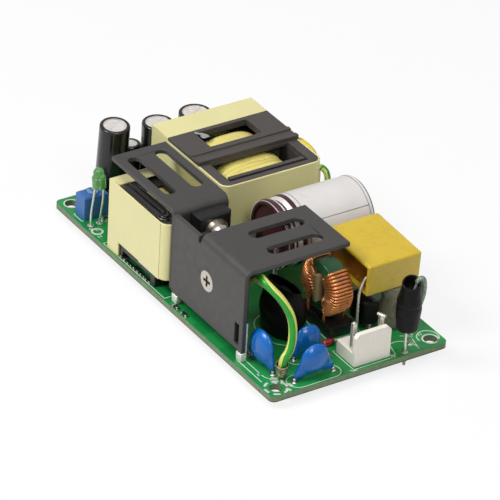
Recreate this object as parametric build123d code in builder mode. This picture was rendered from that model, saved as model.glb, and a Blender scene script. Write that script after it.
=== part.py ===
from build123d import *
import os
from math import cos, radians, sin

# Open frame switching power supply on a 4 by 2 inch circuit board, in millimetres.
# X runs along the board and the mains comes in at +X. Y runs across it, with the side
# heatsink at -Y. Z is up from the underside of the board, and the origin is the middle
# of the four mounting holes.

# Circuit board
board_length = 101.6
board_width = 50.8
board_thickness = 1.6
board_corner = 1.5
hole_pitch_x = 95.25
hole_pitch_y = 44.45
hole_radius = 1.65

# Fits that all pieces share
lead_drop = 2.0
lead_clearance = 0.1
screw_clearance = 0.05
neighbour_gap = 0.3

# Square wire and pin widths
thin_lead = 0.6
stout_lead = 0.8
bobbin_pin = 0.7
header_pin = 1.14

# Folded sheet of both heatsinks
sheet = 1.2
fold_radius = 2.2
heatsink_foot_width = 1.8
heatsink_bottom = 4.0

# Side heatsink
side_inset = 1.7
side_rear_x = 2.5
side_rear_length = 12.2
side_rear_top = 25.6
side_flange_length = 19.7
side_flange_reach = 29.7
side_flange_top = 26.6
relief_width = 1.1
relief_depth = 1.8
side_slot_length = 15.4
side_slot_width = 3.6
side_slot_reach = 17.7
side_slot_first = 5.8
side_slot_pitch = 8.1
vent_width = 1.9
vent_height = 5.8
vent_rise = 1.4
vent_inset = 2.5

# Top heatsink
top_length = 29.6
top_width = 15.6
top_rise = 26.4
top_slot_length = 19.4
top_slot_width = 3.4
top_slot_pitch = 7.8
top_slot_end = 2.9

# Insulating sheet behind the side heatsink
insulation = 0.4
insulation_margin = 0.4

# M3 screws, nut and washers
screw_radius = 1.45
sunk_screw_length = 8.0
sunk_head_radius = 2.7
pan_head_radius = 2.8
pan_head_height = 2.1
pan_head_bevel = 0.9
recess_width = 0.8
recess_length = 3.0
recess_depth = 1.2
nut_flats = 5.5
nut_height = 2.4
washer_radius = 3.4
washer_thickness = 0.5
spring_washer_radius = 2.8
spring_washer_thickness = 0.8
spring_washer_split = 0.7

# Bridge rectifier on the side heatsink
rectifier_length = 22.0
rectifier_height = 17.6
rectifier_thickness = 3.4
rectifier_top = 23.4
rectifier_chamfer = 2.5
rectifier_pitch = 5.08
rectifier_hole_drop = 8.1
rectifier_x = 18.0

# Power transistor on the top heatsink
transistor_width = 9.4
transistor_height = 15.8
transistor_thickness = 4.0
transistor_top = 24.8
transistor_inset = 9.6
transistor_chamfer = 1.0
transistor_pitch = 2.54
clamp_screw_drop = 4.4

# Choke under the top heatsink
choke_length = 26.2
choke_width = 15.4
choke_front_inset = 0.4
choke_tape_bottom = 5.5
choke_tape_top = 21.6
choke_tape_corner = 2.6
choke_foot_length = 5.1
choke_flap = 3.9
choke_plate = 4.2
choke_floor = 1.7
choke_leg = 2.2
choke_yoke = 3.6
choke_post_radius = 2.6
choke_pin_pitch = 4.0

# Main transformer
transformer_length = 33.7
transformer_width = 29.4
transformer_front_gap = 5.1
transformer_y = 8.6
transformer_tape_bottom = 7.4
transformer_tape_top = 25.2
transformer_tape_corner = 2.6
transformer_leg = 3.2
transformer_yoke = 2.4
transformer_post_radius = 5.0
transformer_winding_drop = 0.75
transformer_plate_top = 26.0
transformer_step = 0.9
transformer_pin_pitch = 5.0
strip_width = 7.5
primary_length = 14.3
plate_end = 22.1
plate_window_length = 7.4
plate_window_width = 15.2
plate_window_end = 1.3
frame_window_length = 9.4
frame_window_width = 23.0
frame_window_end = 2.1
rail_width = 1.4
rail_height = 0.4
rail_pitch = 3.5

# What both bobbins and tapes share
tape = 0.5
core_spacer = 0.1
bobbin_wall = 0.8
flange_wall = 1.2
winding_gap = 0.1
winding_room = 0.4

# Bulk capacitor, lying along Y
bulk_radius = 9.0
bulk_length = 25.2
bulk_x = 10.0
bulk_z = 17.3
bulk_start_y = -0.7
bulk_film = 0.15
bulk_groove_reach = 2.9
bulk_groove_depth = 0.9
bulk_groove_width = 2.0
bulk_lead_pitch = 10.0
bulk_label_start = 5.2
seal_inset = 0.4
seal_thickness = 2.6

# Box capacitor across the mains
box_length = 19.2
box_width = 15.4
box_height = 8.7
box_x = 28.9
box_y = 16.75
box_centre_z = 17.0
box_tilt = 3.0
box_wall = 0.9
box_recess = 1.3
box_bevel = 0.35
box_lead_pitch = 15.0
box_lead_reach = 0.9

# Silicone below the box capacitor
bead_radius = 4.6
bead_taper = 6.0
bead_x = 35.9
bead_y = 19.3

# Line choke, a wound ring that stands across the board
ring_outer = 6.9
ring_inner = 3.7
ring_width = 4.8
ring_x = 28.9
ring_y = 4.0
ring_z = 12.2
ring_lead_spread = 3.4
ring_lead_drop = 6.2
turn_wire = 0.75
turn_ridge = 0.6
turn_count = 15
turn_sweep = 126.0
divider_thickness = 1.1
choke_base_height = 3.0
choke_base_length = 14.5
choke_base_width = 7.2

# Varistor and its sleeve
varistor_radius = 5.0
varistor_thickness = 3.2
varistor_x = 26.7
varistor_y = -7.0
varistor_z = 8.0
varistor_pitch = 7.5
varistor_bevel = 0.6
sleeve_wall = 0.5
oval_sides = 20
varistor_sleeve_belly = 8.0
varistor_sleeve_top = 14.4
varistor_sleeve_reaches = [6.5, 6.8, 6.0]
varistor_sleeve_depths = [4.4, 5.2, 1.8]

# Inrush thermistor below the box capacitor
thermistor_length = 7.0
thermistor_width = 5.0
thermistor_height = 8.2
thermistor_rise = 0.5
thermistor_corner = 0.8
thermistor_x = 34.0
thermistor_y = 11.9
thermistor_pitch = 5.0

# Blue disc capacitors
disc_radii = [4.5, 3.6, 3.9]
disc_front_inset = 13.4
disc_front_reach = 5.6
disc_rear_inset = 11.4
disc_rear_reach = 17.2
disc_right_inset = 3.2
disc_right_reach = 13.8
disc_thickness = 3.6
disc_rim = 1.4
disc_rise = 6.6
disc_flat = 0.55
disc_crotch = 0.6
disc_leg_width = 1.5
disc_foot_gap = 0.5
disc_pitches = [10.0, 7.5, 11.0]

# Header for the mains, middle pin left out
input_pitch = 3.96
input_width = 10.3
input_depth = 7.9
input_edge = 1.4
input_y = 3.95
input_pin_inset = 2.9
header_height = 3.6
header_wall = 1.3
header_wall_height = 9.0
header_wall_bevel = 1.0
header_pin_top = 12.6

# Header for the output
output_count = 4
output_depth = 4.6
output_margin = 1.9
output_edge = 0.5
output_y = 8.4

# Standing fuse
fuse_radius = 2.25
fuse_length = 8.0
fuse_inset = 1.4
fuse_y = 13.5
fuse_bottom = 9.2
fuse_sleeve_wall = 0.4
fuse_sleeve_bottom = 8.5
fuse_belly = 3.1
fuse_belly_z = 13.4
fuse_sleeve_neck = 2.3
fuse_neck_z = 20.0
fuse_sleeve_top = 21.5
fuse_lead_top = 22.2
fuse_lead_bend = 1.2
fuse_foot_inset = 3.8
fuse_foot_y = 16.8

# Small axial diode
diode_radius = 0.9
diode_length = 3.4
diode_pitch = 7.0
diode_x = 38.2
diode_y = -1.4

# Green lamp
lamp_radius = 1.45
lamp_rim_radius = 1.75
lamp_rim_height = 2.4
lamp_bottom = 12.9
lamp_height = 5.6
lamp_lead = 0.5
lamp_inset = 15.6
lamp_reach = 3.6
lamp_foot_inset = 14.6
lamp_foot_reach = 3.3
lamp_pitch = 2.54
lamp_spread = 1.2
lamp_bend_z = 9.8

# Voltage trimmer
trimmer_length = 7.0
trimmer_width = 4.4
trimmer_height = 6.6
trimmer_inset = 9.9
trimmer_reach = 5.1
trimmer_pitch = 2.5
trimmer_bevel = 0.4
rotor_radius = 1.5
rotor_depth = 1.6
rotor_clearance = 0.1
rotor_rise = 0.3
rotor_slot = 0.5

# Electrolytic capacitors at the output
can_round = 0.5
can_groove_depth = 0.4
can_groove_rise = 2.2
can_base_rise = 0.3
output_height = 21.8
output_lead_pitch = 3.5
lean_radius = 3.9
lean_angle = 5.0
lean_inset = 5.8
lean_y = -12.9
lean_rise = 1.1
middle_radius = 4.1
middle_inset = 9.9
middle_y = -1.6
rear_radius = 4.3
rear_inset = 9.9
rear_y = 9.5
small_radius = 2.7
small_height = 14.2
small_lead_pitch = 2.0
small_inset = 4.6
small_y = -6.2

# Wires
wire_sides = 6
earth_wire_radius = 1.05
earth_wire_bend = 2.8
wire_lead_out = 1.5
wire_foot_x = 12.0
wire_foot_reach = 11.9
wire_rise = [(6.0, -0.1, 10.6), (15.4, -2.0, 19.4)]
terminal_radius = 1.5
terminal_height = 4.6
terminal_depth = 3.0
terminal_inset = 6.4
terminal_reach = 6.8
secondary_wire_radius = 0.9
secondary_run = 1.15
secondary_fall = 0.8
secondary_bend = 1.1
shield_wire_radius = 0.8
shield_start_x = -5.4
shield_start_z = 21.8
shield_bulge_run = 1.7
shield_bulge_z = 20.2
shield_foot_x = -2.7
shield_foot_run = 1.0
shield_bend = 0.95


def facing_back(y):
    """The plane at this y, with X to its right, Z up and its normal towards -Y."""
    return Plane.XZ.offset(-y)


def facing_front(x):
    """The plane at this x, with Y to its right, Z up and its normal towards +X."""
    return Plane.YZ.offset(x)


def drill_through(plane, radius):
    """Cut a round hole through the whole of the open part."""
    with Locations(plane):
        Hole(radius)


def stand_leads(points, width, top):
    """Add square leads to the open part, from below the board up to this height."""
    with Locations(*[(x, y, -lead_drop) for x, y in points]):
        Box(width, width, top + lead_drop, align=(Align.CENTER, Align.CENTER, Align.MIN))


def foot_holes(points, length, width):
    """Cut holes through the open board for feet of this size."""
    with Locations(*[(x, y, board_thickness / 2) for x, y in points]):
        Box(
            length + 2 * lead_clearance,
            width + 2 * lead_clearance,
            2 * board_thickness,
            mode=Mode.SUBTRACT,
        )


def square_holes(points, width):
    """Cut holes through the open board for square leads of this width."""
    foot_holes(points, width, width)


def bent_lead(points, width):
    """A square wire with sharp bends."""
    with BuildPart() as wire:
        with BuildLine() as path:
            Polyline(*points)
        with BuildSketch(path.line ^ 0):
            Rectangle(width, width)
        sweep(transition=Transition.RIGHT)
    return wire


def round_wire(points, radius, bends):
    """A wire of straight runs joined by arcs, drawn with flat sides."""
    with BuildPart() as wire:
        with BuildLine() as path:
            FilletPolyline(*points, radius=bends)
        with BuildSketch(path.line ^ 0):
            RegularPolygon(radius, wire_sides)
        sweep()
    return wire


def core_pair(length, width, corner, bottom, top, leg, yoke, post, centre_x, centre_y):
    """Two ferrite E halves with a round middle leg along X, a spacer apart."""
    end_x = centre_x - length / 2
    with BuildPart() as pair:
        with BuildSketch(Plane.XY.offset(bottom)):
            with Locations((end_x, centre_y)):
                Rectangle((length - core_spacer) / 2, width, align=(Align.MIN, Align.CENTER))
            fillet(vertices().group_by(Axis.X)[0], radius=corner)
            with Locations((end_x + yoke, centre_y)):
                Rectangle(
                    length, width - 2 * leg, align=(Align.MIN, Align.CENTER), mode=Mode.SUBTRACT
                )
        extrude(amount=top - bottom)
        with BuildSketch(facing_front(end_x + yoke)):
            with Locations((centre_y, (bottom + top) / 2)):
                Circle(post)
        extrude(amount=(length - core_spacer) / 2 - yoke)
        mirror(about=Plane.YZ.offset(centre_x))
    return pair


def taped_outline(length, width, corner, centre_x, centre_y):
    """A rectangle with both its corners at +X rounded."""
    with BuildSketch() as outline:
        with Locations((centre_x, centre_y)):
            Rectangle(length, width)
        fillet(vertices().group_by(Axis.X)[-1], radius=corner)
    return outline.sketch


def taped_winding(start_x, end_x, inner, outer, height, centre_y, centre_z):
    """A wound and taped coil about an axis along X, flat above and below."""
    with BuildPart() as coil:
        with BuildSketch(facing_front(start_x)):
            with Locations((centre_y, centre_z)):
                Circle(outer)
                Rectangle(2 * outer, height, mode=Mode.INTERSECT)
                Circle(inner, mode=Mode.SUBTRACT)
        extrude(amount=end_x - start_x)
    return coil


def electrolytic(plane, radius, height, lead_points):
    """A sleeved can that stands on this plane, with its leads down through the board."""
    with BuildPart() as can:
        with BuildSketch(Plane(plane.origin, x_dir=plane.x_dir, z_dir=-plane.y_dir)):
            with BuildLine():
                Polyline(
                    (0, can_base_rise),
                    (radius, can_base_rise),
                    (radius, can_groove_rise - can_groove_depth),
                    (radius - can_groove_depth, can_groove_rise),
                    (radius, can_groove_rise + can_groove_depth),
                    (radius, height - can_round),
                    (radius - can_round, height),
                    (0, height),
                    close=True,
                )
            make_face()
        revolve(axis=Axis(plane.origin, plane.z_dir))
        stand_leads(lead_points, thin_lead, plane.origin.Z + 3 * can_base_rise)
    return can


# Places that several pieces share
board_top = board_thickness
right_end = board_length / 2
left_end = -right_end
front_edge = -board_width / 2
fuse_x = right_end - fuse_inset
fuse_foot_x = right_end - fuse_foot_inset
terminal_x = right_end - terminal_inset
lamp_x = left_end + lamp_inset
lamp_foot_x = left_end + lamp_foot_inset
trimmer_x = left_end + trimmer_inset
lean_x = left_end + lean_inset
middle_x = left_end + middle_inset
rear_x = left_end + rear_inset
small_x = left_end + small_inset
disc_front_y = front_edge + disc_front_reach
disc_rear_y = front_edge + disc_rear_reach
disc_right_y = front_edge + disc_right_reach
lamp_y = front_edge + lamp_reach
lamp_foot_y = front_edge + lamp_foot_reach
trimmer_y = front_edge + trimmer_reach
terminal_y = front_edge + terminal_reach
wire_foot_y = front_edge + wire_foot_reach
far_wire_y = transformer_y + transformer_width / 2
secondary_y = far_wire_y + secondary_run
plate_outer = front_edge + side_inset
plate_inner = plate_outer + sheet
flange_x = side_rear_x + side_rear_length
side_front_x = flange_x + side_flange_length
flange_y = plate_outer + side_flange_reach
sunk_screw_z = rectifier_top - rectifier_hole_drop
sunk_screw_plane = Plane((rectifier_x, plate_outer, sunk_screw_z), x_dir=(1, 0, 0), z_dir=(0, -1, 0))
rectifier_face = plate_inner + insulation
rectifier_back = rectifier_face + rectifier_thickness

leg_face = side_rear_x - neighbour_gap
top_front = plate_outer + neighbour_gap
top_y = top_front + top_width / 2
transistor_y = plate_outer + transistor_inset
clamp_y = transistor_y
clamp_z = transistor_top - clamp_screw_drop
package_face = leg_face + transistor_thickness
clamp_plane = Plane((package_face, clamp_y, clamp_z), x_dir=(0, 1, 0), z_dir=(1, 0, 0))

choke_end_x = leg_face - sheet - neighbour_gap
choke_x = choke_end_x - choke_length / 2
choke_y = front_edge + choke_front_inset + choke_width / 2
choke_axis_z = (choke_tape_bottom + choke_tape_top - tape) / 2

transformer_end_x = leg_face - transformer_front_gap
transformer_x = transformer_end_x - transformer_length / 2

box_plane = Plane(
    (box_x, box_y, box_centre_z),
    x_dir=(cos(radians(box_tilt)), 0, -sin(radians(box_tilt))),
    z_dir=(sin(radians(box_tilt)), 0, cos(radians(box_tilt))),
)

# Lead positions on the board
side_feet_x = [side_rear_x + heatsink_foot_width, side_front_x - heatsink_foot_width / 2]
side_feet_y = plate_outer + sheet / 2
top_feet_y = [top_y - top_width / 3, top_y + top_width / 3]
top_feet_x = leg_face - sheet / 2
rectifier_lead_y = rectifier_face + rectifier_thickness / 2
rectifier_leads = [(rectifier_x + (i - 1.5) * rectifier_pitch, rectifier_lead_y) for i in range(4)]
transistor_lead_x = leg_face + transistor_thickness / 2
transistor_leads = [(transistor_lead_x, transistor_y + (i - 1) * transistor_pitch) for i in range(3)]
choke_pin_x = choke_length / 2 - choke_yoke - flange_wall - bobbin_pin
choke_pins = [
    (choke_x + side * choke_pin_x, choke_y + (i - 1) * choke_pin_pitch)
    for side in (-1, 1)
    for i in range(3)
]
transformer_pin_x = transformer_length / 2 - transformer_yoke - flange_wall - bobbin_pin
transformer_pins = [
    (transformer_x + side * transformer_pin_x, transformer_y + (i - 1.5) * transformer_pin_pitch)
    for side in (-1, 1)
    for i in range(4)
]
bulk_lead_y = bulk_start_y - 1.2
bulk_lead_points = [(bulk_x - bulk_lead_pitch / 2, bulk_lead_y), (bulk_x + bulk_lead_pitch / 2, bulk_lead_y)]
box_lead_y = box_y - box_width / 2 - box_lead_reach
box_lead_starts = [
    box_plane.from_local_coords((side * box_lead_pitch / 2, box_recess - box_width / 2, 0))
    for side in (-1, 1)
]
box_lead_points = [(start.X, box_lead_y) for start in box_lead_starts]
ring_lead_points = [
    (ring_x + side * ring_lead_spread, ring_y + end * (ring_width + turn_wire) / 2)
    for side in (-1, 1)
    for end in (-1, 1)
]
disc_planes = [
    Plane((right_end - disc_front_inset, disc_front_y, 0), x_dir=(1, 0, 0), z_dir=(0, 0, 1)),
    Plane((right_end - disc_rear_inset, disc_rear_y, 0), x_dir=(0, 1, 0), z_dir=(0, 0, 1)),
    Plane((right_end - disc_right_inset, disc_right_y, 0), x_dir=(0, 1, 0), z_dir=(0, 0, 1)),
]
disc_leads = [
    (foot.X, foot.Y)
    for plane, pitch in zip(disc_planes, disc_pitches)
    for foot in [plane.from_local_coords((side * pitch / 2, 0, 0)) for side in (-1, 1)]
]
varistor_leads = [(varistor_x - varistor_pitch / 2, varistor_y), (varistor_x + varistor_pitch / 2, varistor_y)]
thermistor_leads = [
    (thermistor_x - thermistor_pitch / 2, thermistor_y),
    (thermistor_x + thermistor_pitch / 2, thermistor_y),
]
input_outer_x = right_end - input_edge
input_pin_x = input_outer_x - input_pin_inset
input_pin_points = [(input_pin_x, input_y - input_pitch), (input_pin_x, input_y + input_pitch)]
output_outer_x = left_end + output_edge
output_pin_x = output_outer_x + output_depth / 2
output_width = (output_count - 1) * input_pitch + 2 * output_margin
output_pin_points = [
    (output_pin_x, output_y + (i - (output_count - 1) / 2) * input_pitch) for i in range(output_count)
]
fuse_leads = [(fuse_x, fuse_y), (fuse_foot_x, fuse_foot_y)]
diode_leads = [(diode_x, diode_y - diode_pitch / 2), (diode_x, diode_y + diode_pitch / 2)]
lamp_leads_at = [(lamp_foot_x, lamp_foot_y + side * lamp_pitch / 2) for side in (-1, 1)]
trimmer_leads = [(trimmer_x, trimmer_y + (i - 1) * trimmer_pitch) for i in range(3)]
lean_plane = Plane(
    (lean_x, lean_y, board_top + lean_rise),
    x_dir=(cos(radians(lean_angle)), 0, -sin(radians(lean_angle))),
    z_dir=(sin(radians(lean_angle)), 0, cos(radians(lean_angle))),
)
middle_plane = Plane((middle_x, middle_y, board_top))
rear_plane = Plane((rear_x, rear_y, board_top))
small_plane = Plane((small_x, small_y, board_top))
output_can_leads = [
    (x, y + side * output_lead_pitch / 2)
    for x, y in [(lean_x, lean_y), (middle_x, middle_y), (rear_x, rear_y)]
    for side in (-1, 1)
]
small_can_leads = [(small_x, small_y + side * small_lead_pitch / 2) for side in (-1, 1)]
wire_foot_point = (wire_foot_x, wire_foot_y)
terminal_point = (terminal_x, terminal_y)
terminal_plane = Plane((terminal_x, terminal_y, board_top), x_dir=(1, 0, -0.23), z_dir=(0.22, -0.16, 0.96))
secondary_routes = [(-7.2, 8.6, 24.2), (-9.5, 5.6, 22.0)]
secondary_feet = [(x, secondary_y) for x, reach, z in secondary_routes]
shield_foot = (shield_foot_x, far_wire_y + shield_foot_run)


# Circuit board, drilled for every lead and for the feet of both heatsinks
thin_lead_points = (
    varistor_leads
    + thermistor_leads
    + disc_leads
    + diode_leads
    + trimmer_leads
    + output_can_leads
    + small_can_leads
    + [shield_foot]
)
stout_lead_points = (
    rectifier_leads
    + transistor_leads
    + bulk_lead_points
    + box_lead_points
    + fuse_leads
    + secondary_feet
    + [wire_foot_point, terminal_point]
)
with BuildPart() as circuit_board:
    with BuildSketch():
        RectangleRounded(board_length, board_width, board_corner)
        with GridLocations(hole_pitch_x, hole_pitch_y, 2, 2):
            Circle(hole_radius, mode=Mode.SUBTRACT)
    extrude(amount=board_thickness)
    square_holes(thin_lead_points, thin_lead)
    square_holes(stout_lead_points, stout_lead)
    square_holes(choke_pins + transformer_pins, bobbin_pin)
    square_holes(ring_lead_points, turn_wire)
    square_holes(input_pin_points + output_pin_points, header_pin)
    square_holes(lamp_leads_at, lamp_lead)
    foot_holes([(x, side_feet_y) for x in side_feet_x], heatsink_foot_width, sheet)
    foot_holes([(top_feet_x, y) for y in top_feet_y], sheet, heatsink_foot_width)

# Side heatsink: a folded plate whose +X part bends over the board as a slotted flange
with BuildPart() as side_heatsink:
    with BuildSketch(facing_front(flange_x)):
        with BuildLine():
            FilletPolyline(
                (plate_outer, heatsink_bottom),
                (plate_outer, side_flange_top),
                (flange_y, side_flange_top),
                radius=fold_radius,
            )
            offset(amount=sheet, side=Side.RIGHT)
        make_face()
    extrude(amount=side_flange_length)
    with BuildSketch(facing_back(plate_outer)):
        relief_x = flange_x - relief_width
        relief_z = side_rear_top - relief_depth
        with BuildLine():
            Polyline(
                (side_rear_x, heatsink_bottom),
                (side_rear_x, side_rear_top),
                (relief_x, side_rear_top),
                (relief_x, relief_z),
                (flange_x, relief_z),
                (flange_x, heatsink_bottom),
                close=True,
            )
        make_face()
        with Locations(*[(x, heatsink_bottom) for x in side_feet_x]):
            Rectangle(
                heatsink_foot_width, heatsink_bottom + lead_drop, align=(Align.CENTER, Align.MAX)
            )
    extrude(amount=-sheet)
    with BuildSketch(facing_back(plate_outer)):
        with Locations((side_front_x - vent_inset, heatsink_bottom + vent_rise + vent_height / 2)):
            Rectangle(vent_width, vent_height)
    extrude(amount=-2 * sheet, mode=Mode.SUBTRACT)
    with BuildSketch(Plane.XY.offset(side_flange_top)):
        slot_y = plate_outer + side_slot_reach
        slot_x = flange_x + side_slot_first
        with Locations((slot_x, slot_y), (slot_x + side_slot_pitch, slot_y)):
            SlotOverall(side_slot_length, side_slot_width, rotation=90)
    extrude(amount=-2 * sheet, mode=Mode.SUBTRACT)
    with Locations(sunk_screw_plane):
        CounterSinkHole(
            screw_radius + lead_clearance,
            sunk_head_radius + screw_clearance,
            depth=2 * sheet,
            counter_sink_angle=90,
        )

# Top heatsink: bent down at its +X end, where the power transistor sits on it
with BuildPart() as top_heatsink:
    with BuildSketch(facing_back(top_front)):
        with BuildLine():
            FilletPolyline(
                (leg_face - top_length, top_rise),
                (leg_face, top_rise),
                (leg_face, heatsink_bottom),
                radius=fold_radius,
            )
            offset(amount=sheet, side=Side.RIGHT)
        make_face()
    extrude(amount=-top_width)
    with BuildSketch(facing_front(leg_face)):
        with Locations(*[(y, heatsink_bottom) for y in top_feet_y]):
            Rectangle(
                heatsink_foot_width, heatsink_bottom + lead_drop, align=(Align.CENTER, Align.MAX)
            )
    extrude(amount=-sheet)
    with BuildSketch(Plane.XY.offset(top_rise)):
        slot_x = leg_face - top_length + top_slot_end + top_slot_length / 2
        with Locations((slot_x, top_y)):
            with GridLocations(top_slot_length, top_slot_pitch, 1, 2):
                SlotOverall(top_slot_length, top_slot_width)
    extrude(amount=-2 * sheet, mode=Mode.SUBTRACT)
    drill_through(clamp_plane, screw_radius + screw_clearance)

# Insulating sheet, lower where the flange bends over it
with BuildPart() as insulating_sheet:
    with BuildSketch(facing_back(plate_inner)):
        low_x = side_rear_x + insulation_margin
        low_z = heatsink_bottom + insulation_margin
        relief_x = flange_x - relief_width
        with BuildLine():
            Polyline(
                (low_x, low_z),
                (low_x, side_rear_top - insulation_margin),
                (relief_x, side_rear_top - insulation_margin),
                (relief_x, side_rear_top - relief_depth),
                (side_front_x - insulation_margin, side_rear_top - relief_depth),
                (side_front_x - insulation_margin, low_z),
                close=True,
            )
        make_face()
    extrude(amount=-insulation)
    drill_through(sunk_screw_plane, screw_radius + lead_clearance)

# Countersunk screw of the rectifier, with its cross recess
with BuildPart() as countersunk_screw:
    with BuildSketch(Plane(sunk_screw_plane.origin, x_dir=(1, 0, 0), z_dir=(0, 0, 1))):
        cone = sunk_head_radius - screw_radius
        with BuildLine():
            Polyline(
                (0, 0),
                (sunk_head_radius, 0),
                (screw_radius, cone),
                (screw_radius, sunk_screw_length),
                (0, sunk_screw_length),
                close=True,
            )
        make_face()
    revolve(axis=Axis(sunk_screw_plane.origin, (0, 1, 0)))
    with BuildSketch(sunk_screw_plane):
        Rectangle(recess_length, recess_width)
        Rectangle(recess_width, recess_length)
    extrude(amount=-recess_depth, mode=Mode.SUBTRACT)

# Pan head screw that clamps the transistor through both its washers
washer_face = package_face + washer_thickness
spring_face = washer_face + spring_washer_thickness
with BuildPart() as clamp_screw:
    with BuildSketch(Plane((spring_face, clamp_y, clamp_z), x_dir=(1, 0, 0), z_dir=(0, 0, 1))):
        with BuildLine():
            Polyline(
                (leg_face - sheet - spring_face, 0),
                (leg_face - sheet - spring_face, screw_radius),
                (0, screw_radius),
                (0, pan_head_radius),
                (pan_head_height - pan_head_bevel, pan_head_radius),
                (pan_head_height, pan_head_radius - pan_head_bevel),
                (pan_head_height, 0),
                close=True,
            )
        make_face()
    revolve(axis=Axis((0, clamp_y, clamp_z), (1, 0, 0)))
    head_top = spring_face + pan_head_height
    with BuildSketch(Plane((head_top, clamp_y, clamp_z), x_dir=(0, 1, 0), z_dir=(1, 0, 0))):
        Rectangle(recess_length, recess_width, rotation=20)
        Rectangle(recess_width, recess_length, rotation=20)
    extrude(amount=-recess_depth, mode=Mode.SUBTRACT)

with BuildPart() as flat_washer:
    with BuildSketch(clamp_plane):
        Circle(washer_radius)
        Circle(screw_radius + lead_clearance, mode=Mode.SUBTRACT)
    extrude(amount=washer_thickness)

with BuildPart() as spring_washer:
    with BuildSketch(clamp_plane.offset(washer_thickness)):
        Circle(spring_washer_radius)
        Circle(screw_radius + lead_clearance, mode=Mode.SUBTRACT)
        with Locations(Location((0, 0, 0), (0, 0, 30))):
            Rectangle(
                2 * spring_washer_radius,
                spring_washer_split,
                align=(Align.MIN, Align.CENTER),
                mode=Mode.SUBTRACT,
            )
    extrude(amount=spring_washer_thickness)

with BuildPart() as hex_nut:
    with BuildSketch(facing_back(rectifier_back + nut_height)):
        with Locations((rectifier_x, sunk_screw_z)):
            RegularPolygon(nut_flats / 2, 6, major_radius=False)
            Circle(screw_radius + screw_clearance, mode=Mode.SUBTRACT)
    extrude(amount=nut_height)

# Flat bridge rectifier, one top corner cut to mark its plus lead
with BuildPart() as bridge_rectifier:
    with BuildSketch(facing_back(rectifier_face)):
        with Locations((rectifier_x, rectifier_top)):
            Rectangle(rectifier_length, rectifier_height, align=(Align.CENTER, Align.MAX))
        chamfer(vertices().group_by(Axis.Y)[-1].sort_by(Axis.X)[0], length=rectifier_chamfer)
    extrude(amount=-rectifier_thickness)
    drill_through(sunk_screw_plane, screw_radius + lead_clearance)
    stand_leads(rectifier_leads, stout_lead, rectifier_top - rectifier_height)

# Power transistor, its upper edges bevelled as moulded
with BuildPart() as power_transistor:
    with BuildSketch(facing_front(leg_face)):
        with Locations((transistor_y, transistor_top)):
            Rectangle(transistor_width, transistor_height, align=(Align.CENTER, Align.MAX))
    extrude(amount=transistor_thickness)
    front_edges = edges().group_by(Axis.X)[-1]
    chamfer(front_edges, length=transistor_chamfer / 2)
    drill_through(clamp_plane, screw_radius + lead_clearance)
    stand_leads(transistor_leads, stout_lead, transistor_top - transistor_height)

# Choke: ferrite pair, bobbin, taped winding and the tape that holds it all together
choke_core_length = choke_length - 2 * tape
choke_core_width = choke_width - 2 * tape
choke_corner = choke_tape_corner - tape
choke_core = core_pair(
    choke_core_length,
    choke_core_width,
    choke_corner,
    choke_tape_bottom,
    choke_tape_top - tape,
    choke_leg,
    choke_yoke,
    choke_post_radius,
    choke_x,
    choke_y,
)
choke_window = choke_core_length / 2 - choke_yoke - winding_gap
choke_opening = choke_core_width - 2 * choke_leg - 2 * winding_gap
choke_tube = choke_post_radius + winding_gap + bobbin_wall
with BuildPart() as choke_bobbin:
    with BuildSketch(facing_front(choke_x - choke_window)):
        with Locations((choke_y, choke_axis_z)):
            Circle(choke_tube)
            Circle(choke_post_radius + winding_gap, mode=Mode.SUBTRACT)
    extrude(amount=2 * choke_window)
    with BuildSketch(facing_front(choke_x - choke_window)) as cheek:
        with Locations((choke_y, board_top)):
            Rectangle(
                choke_opening, choke_tape_top - tape - board_top, align=(Align.CENTER, Align.MIN)
            )
        with Locations((choke_y, choke_axis_z)):
            Circle(choke_post_radius + winding_gap, mode=Mode.SUBTRACT)
    extrude(amount=flange_wall)
    extrude(cheek.sketch.moved(Location((2 * choke_window - flange_wall, 0, 0))), amount=flange_wall)
    with BuildSketch(Plane.XY.offset(choke_tape_top - tape - flange_wall)):
        with Locations((choke_x, choke_y)):
            with GridLocations(1, choke_opening - 2 * flange_wall, 1, 2):
                Rectangle(2 * choke_window, 2 * flange_wall)
        with Locations((choke_x - choke_window, choke_y)):
            Rectangle(choke_plate, choke_opening, align=(Align.MIN, Align.CENTER))
    extrude(amount=flange_wall)
    with BuildSketch(Plane.XY.offset(board_top)):
        with Locations((choke_x, choke_y)):
            with GridLocations(2 * choke_pin_x, 1, 2, 1):
                Rectangle(3 * bobbin_pin, choke_core_width)
    extrude(amount=choke_tape_bottom - board_top)
    with BuildSketch(Plane.XY.offset(choke_tape_bottom)):
        with Locations((choke_x, choke_y)):
            Rectangle(2 * choke_pin_x, choke_core_width)
    extrude(amount=-choke_floor)
    with Locations(*[(x, y, board_top) for x, y in choke_pins]):
        Box(bobbin_pin, bobbin_pin, 2 * flange_wall, mode=Mode.SUBTRACT)

choke_winding_radius = choke_opening / 2 - winding_room
choke_winding = taped_winding(
    choke_x - choke_window + flange_wall,
    choke_x + choke_window - flange_wall,
    choke_tube,
    choke_winding_radius,
    2 * choke_winding_radius,
    choke_y,
    choke_axis_z,
)

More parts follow.
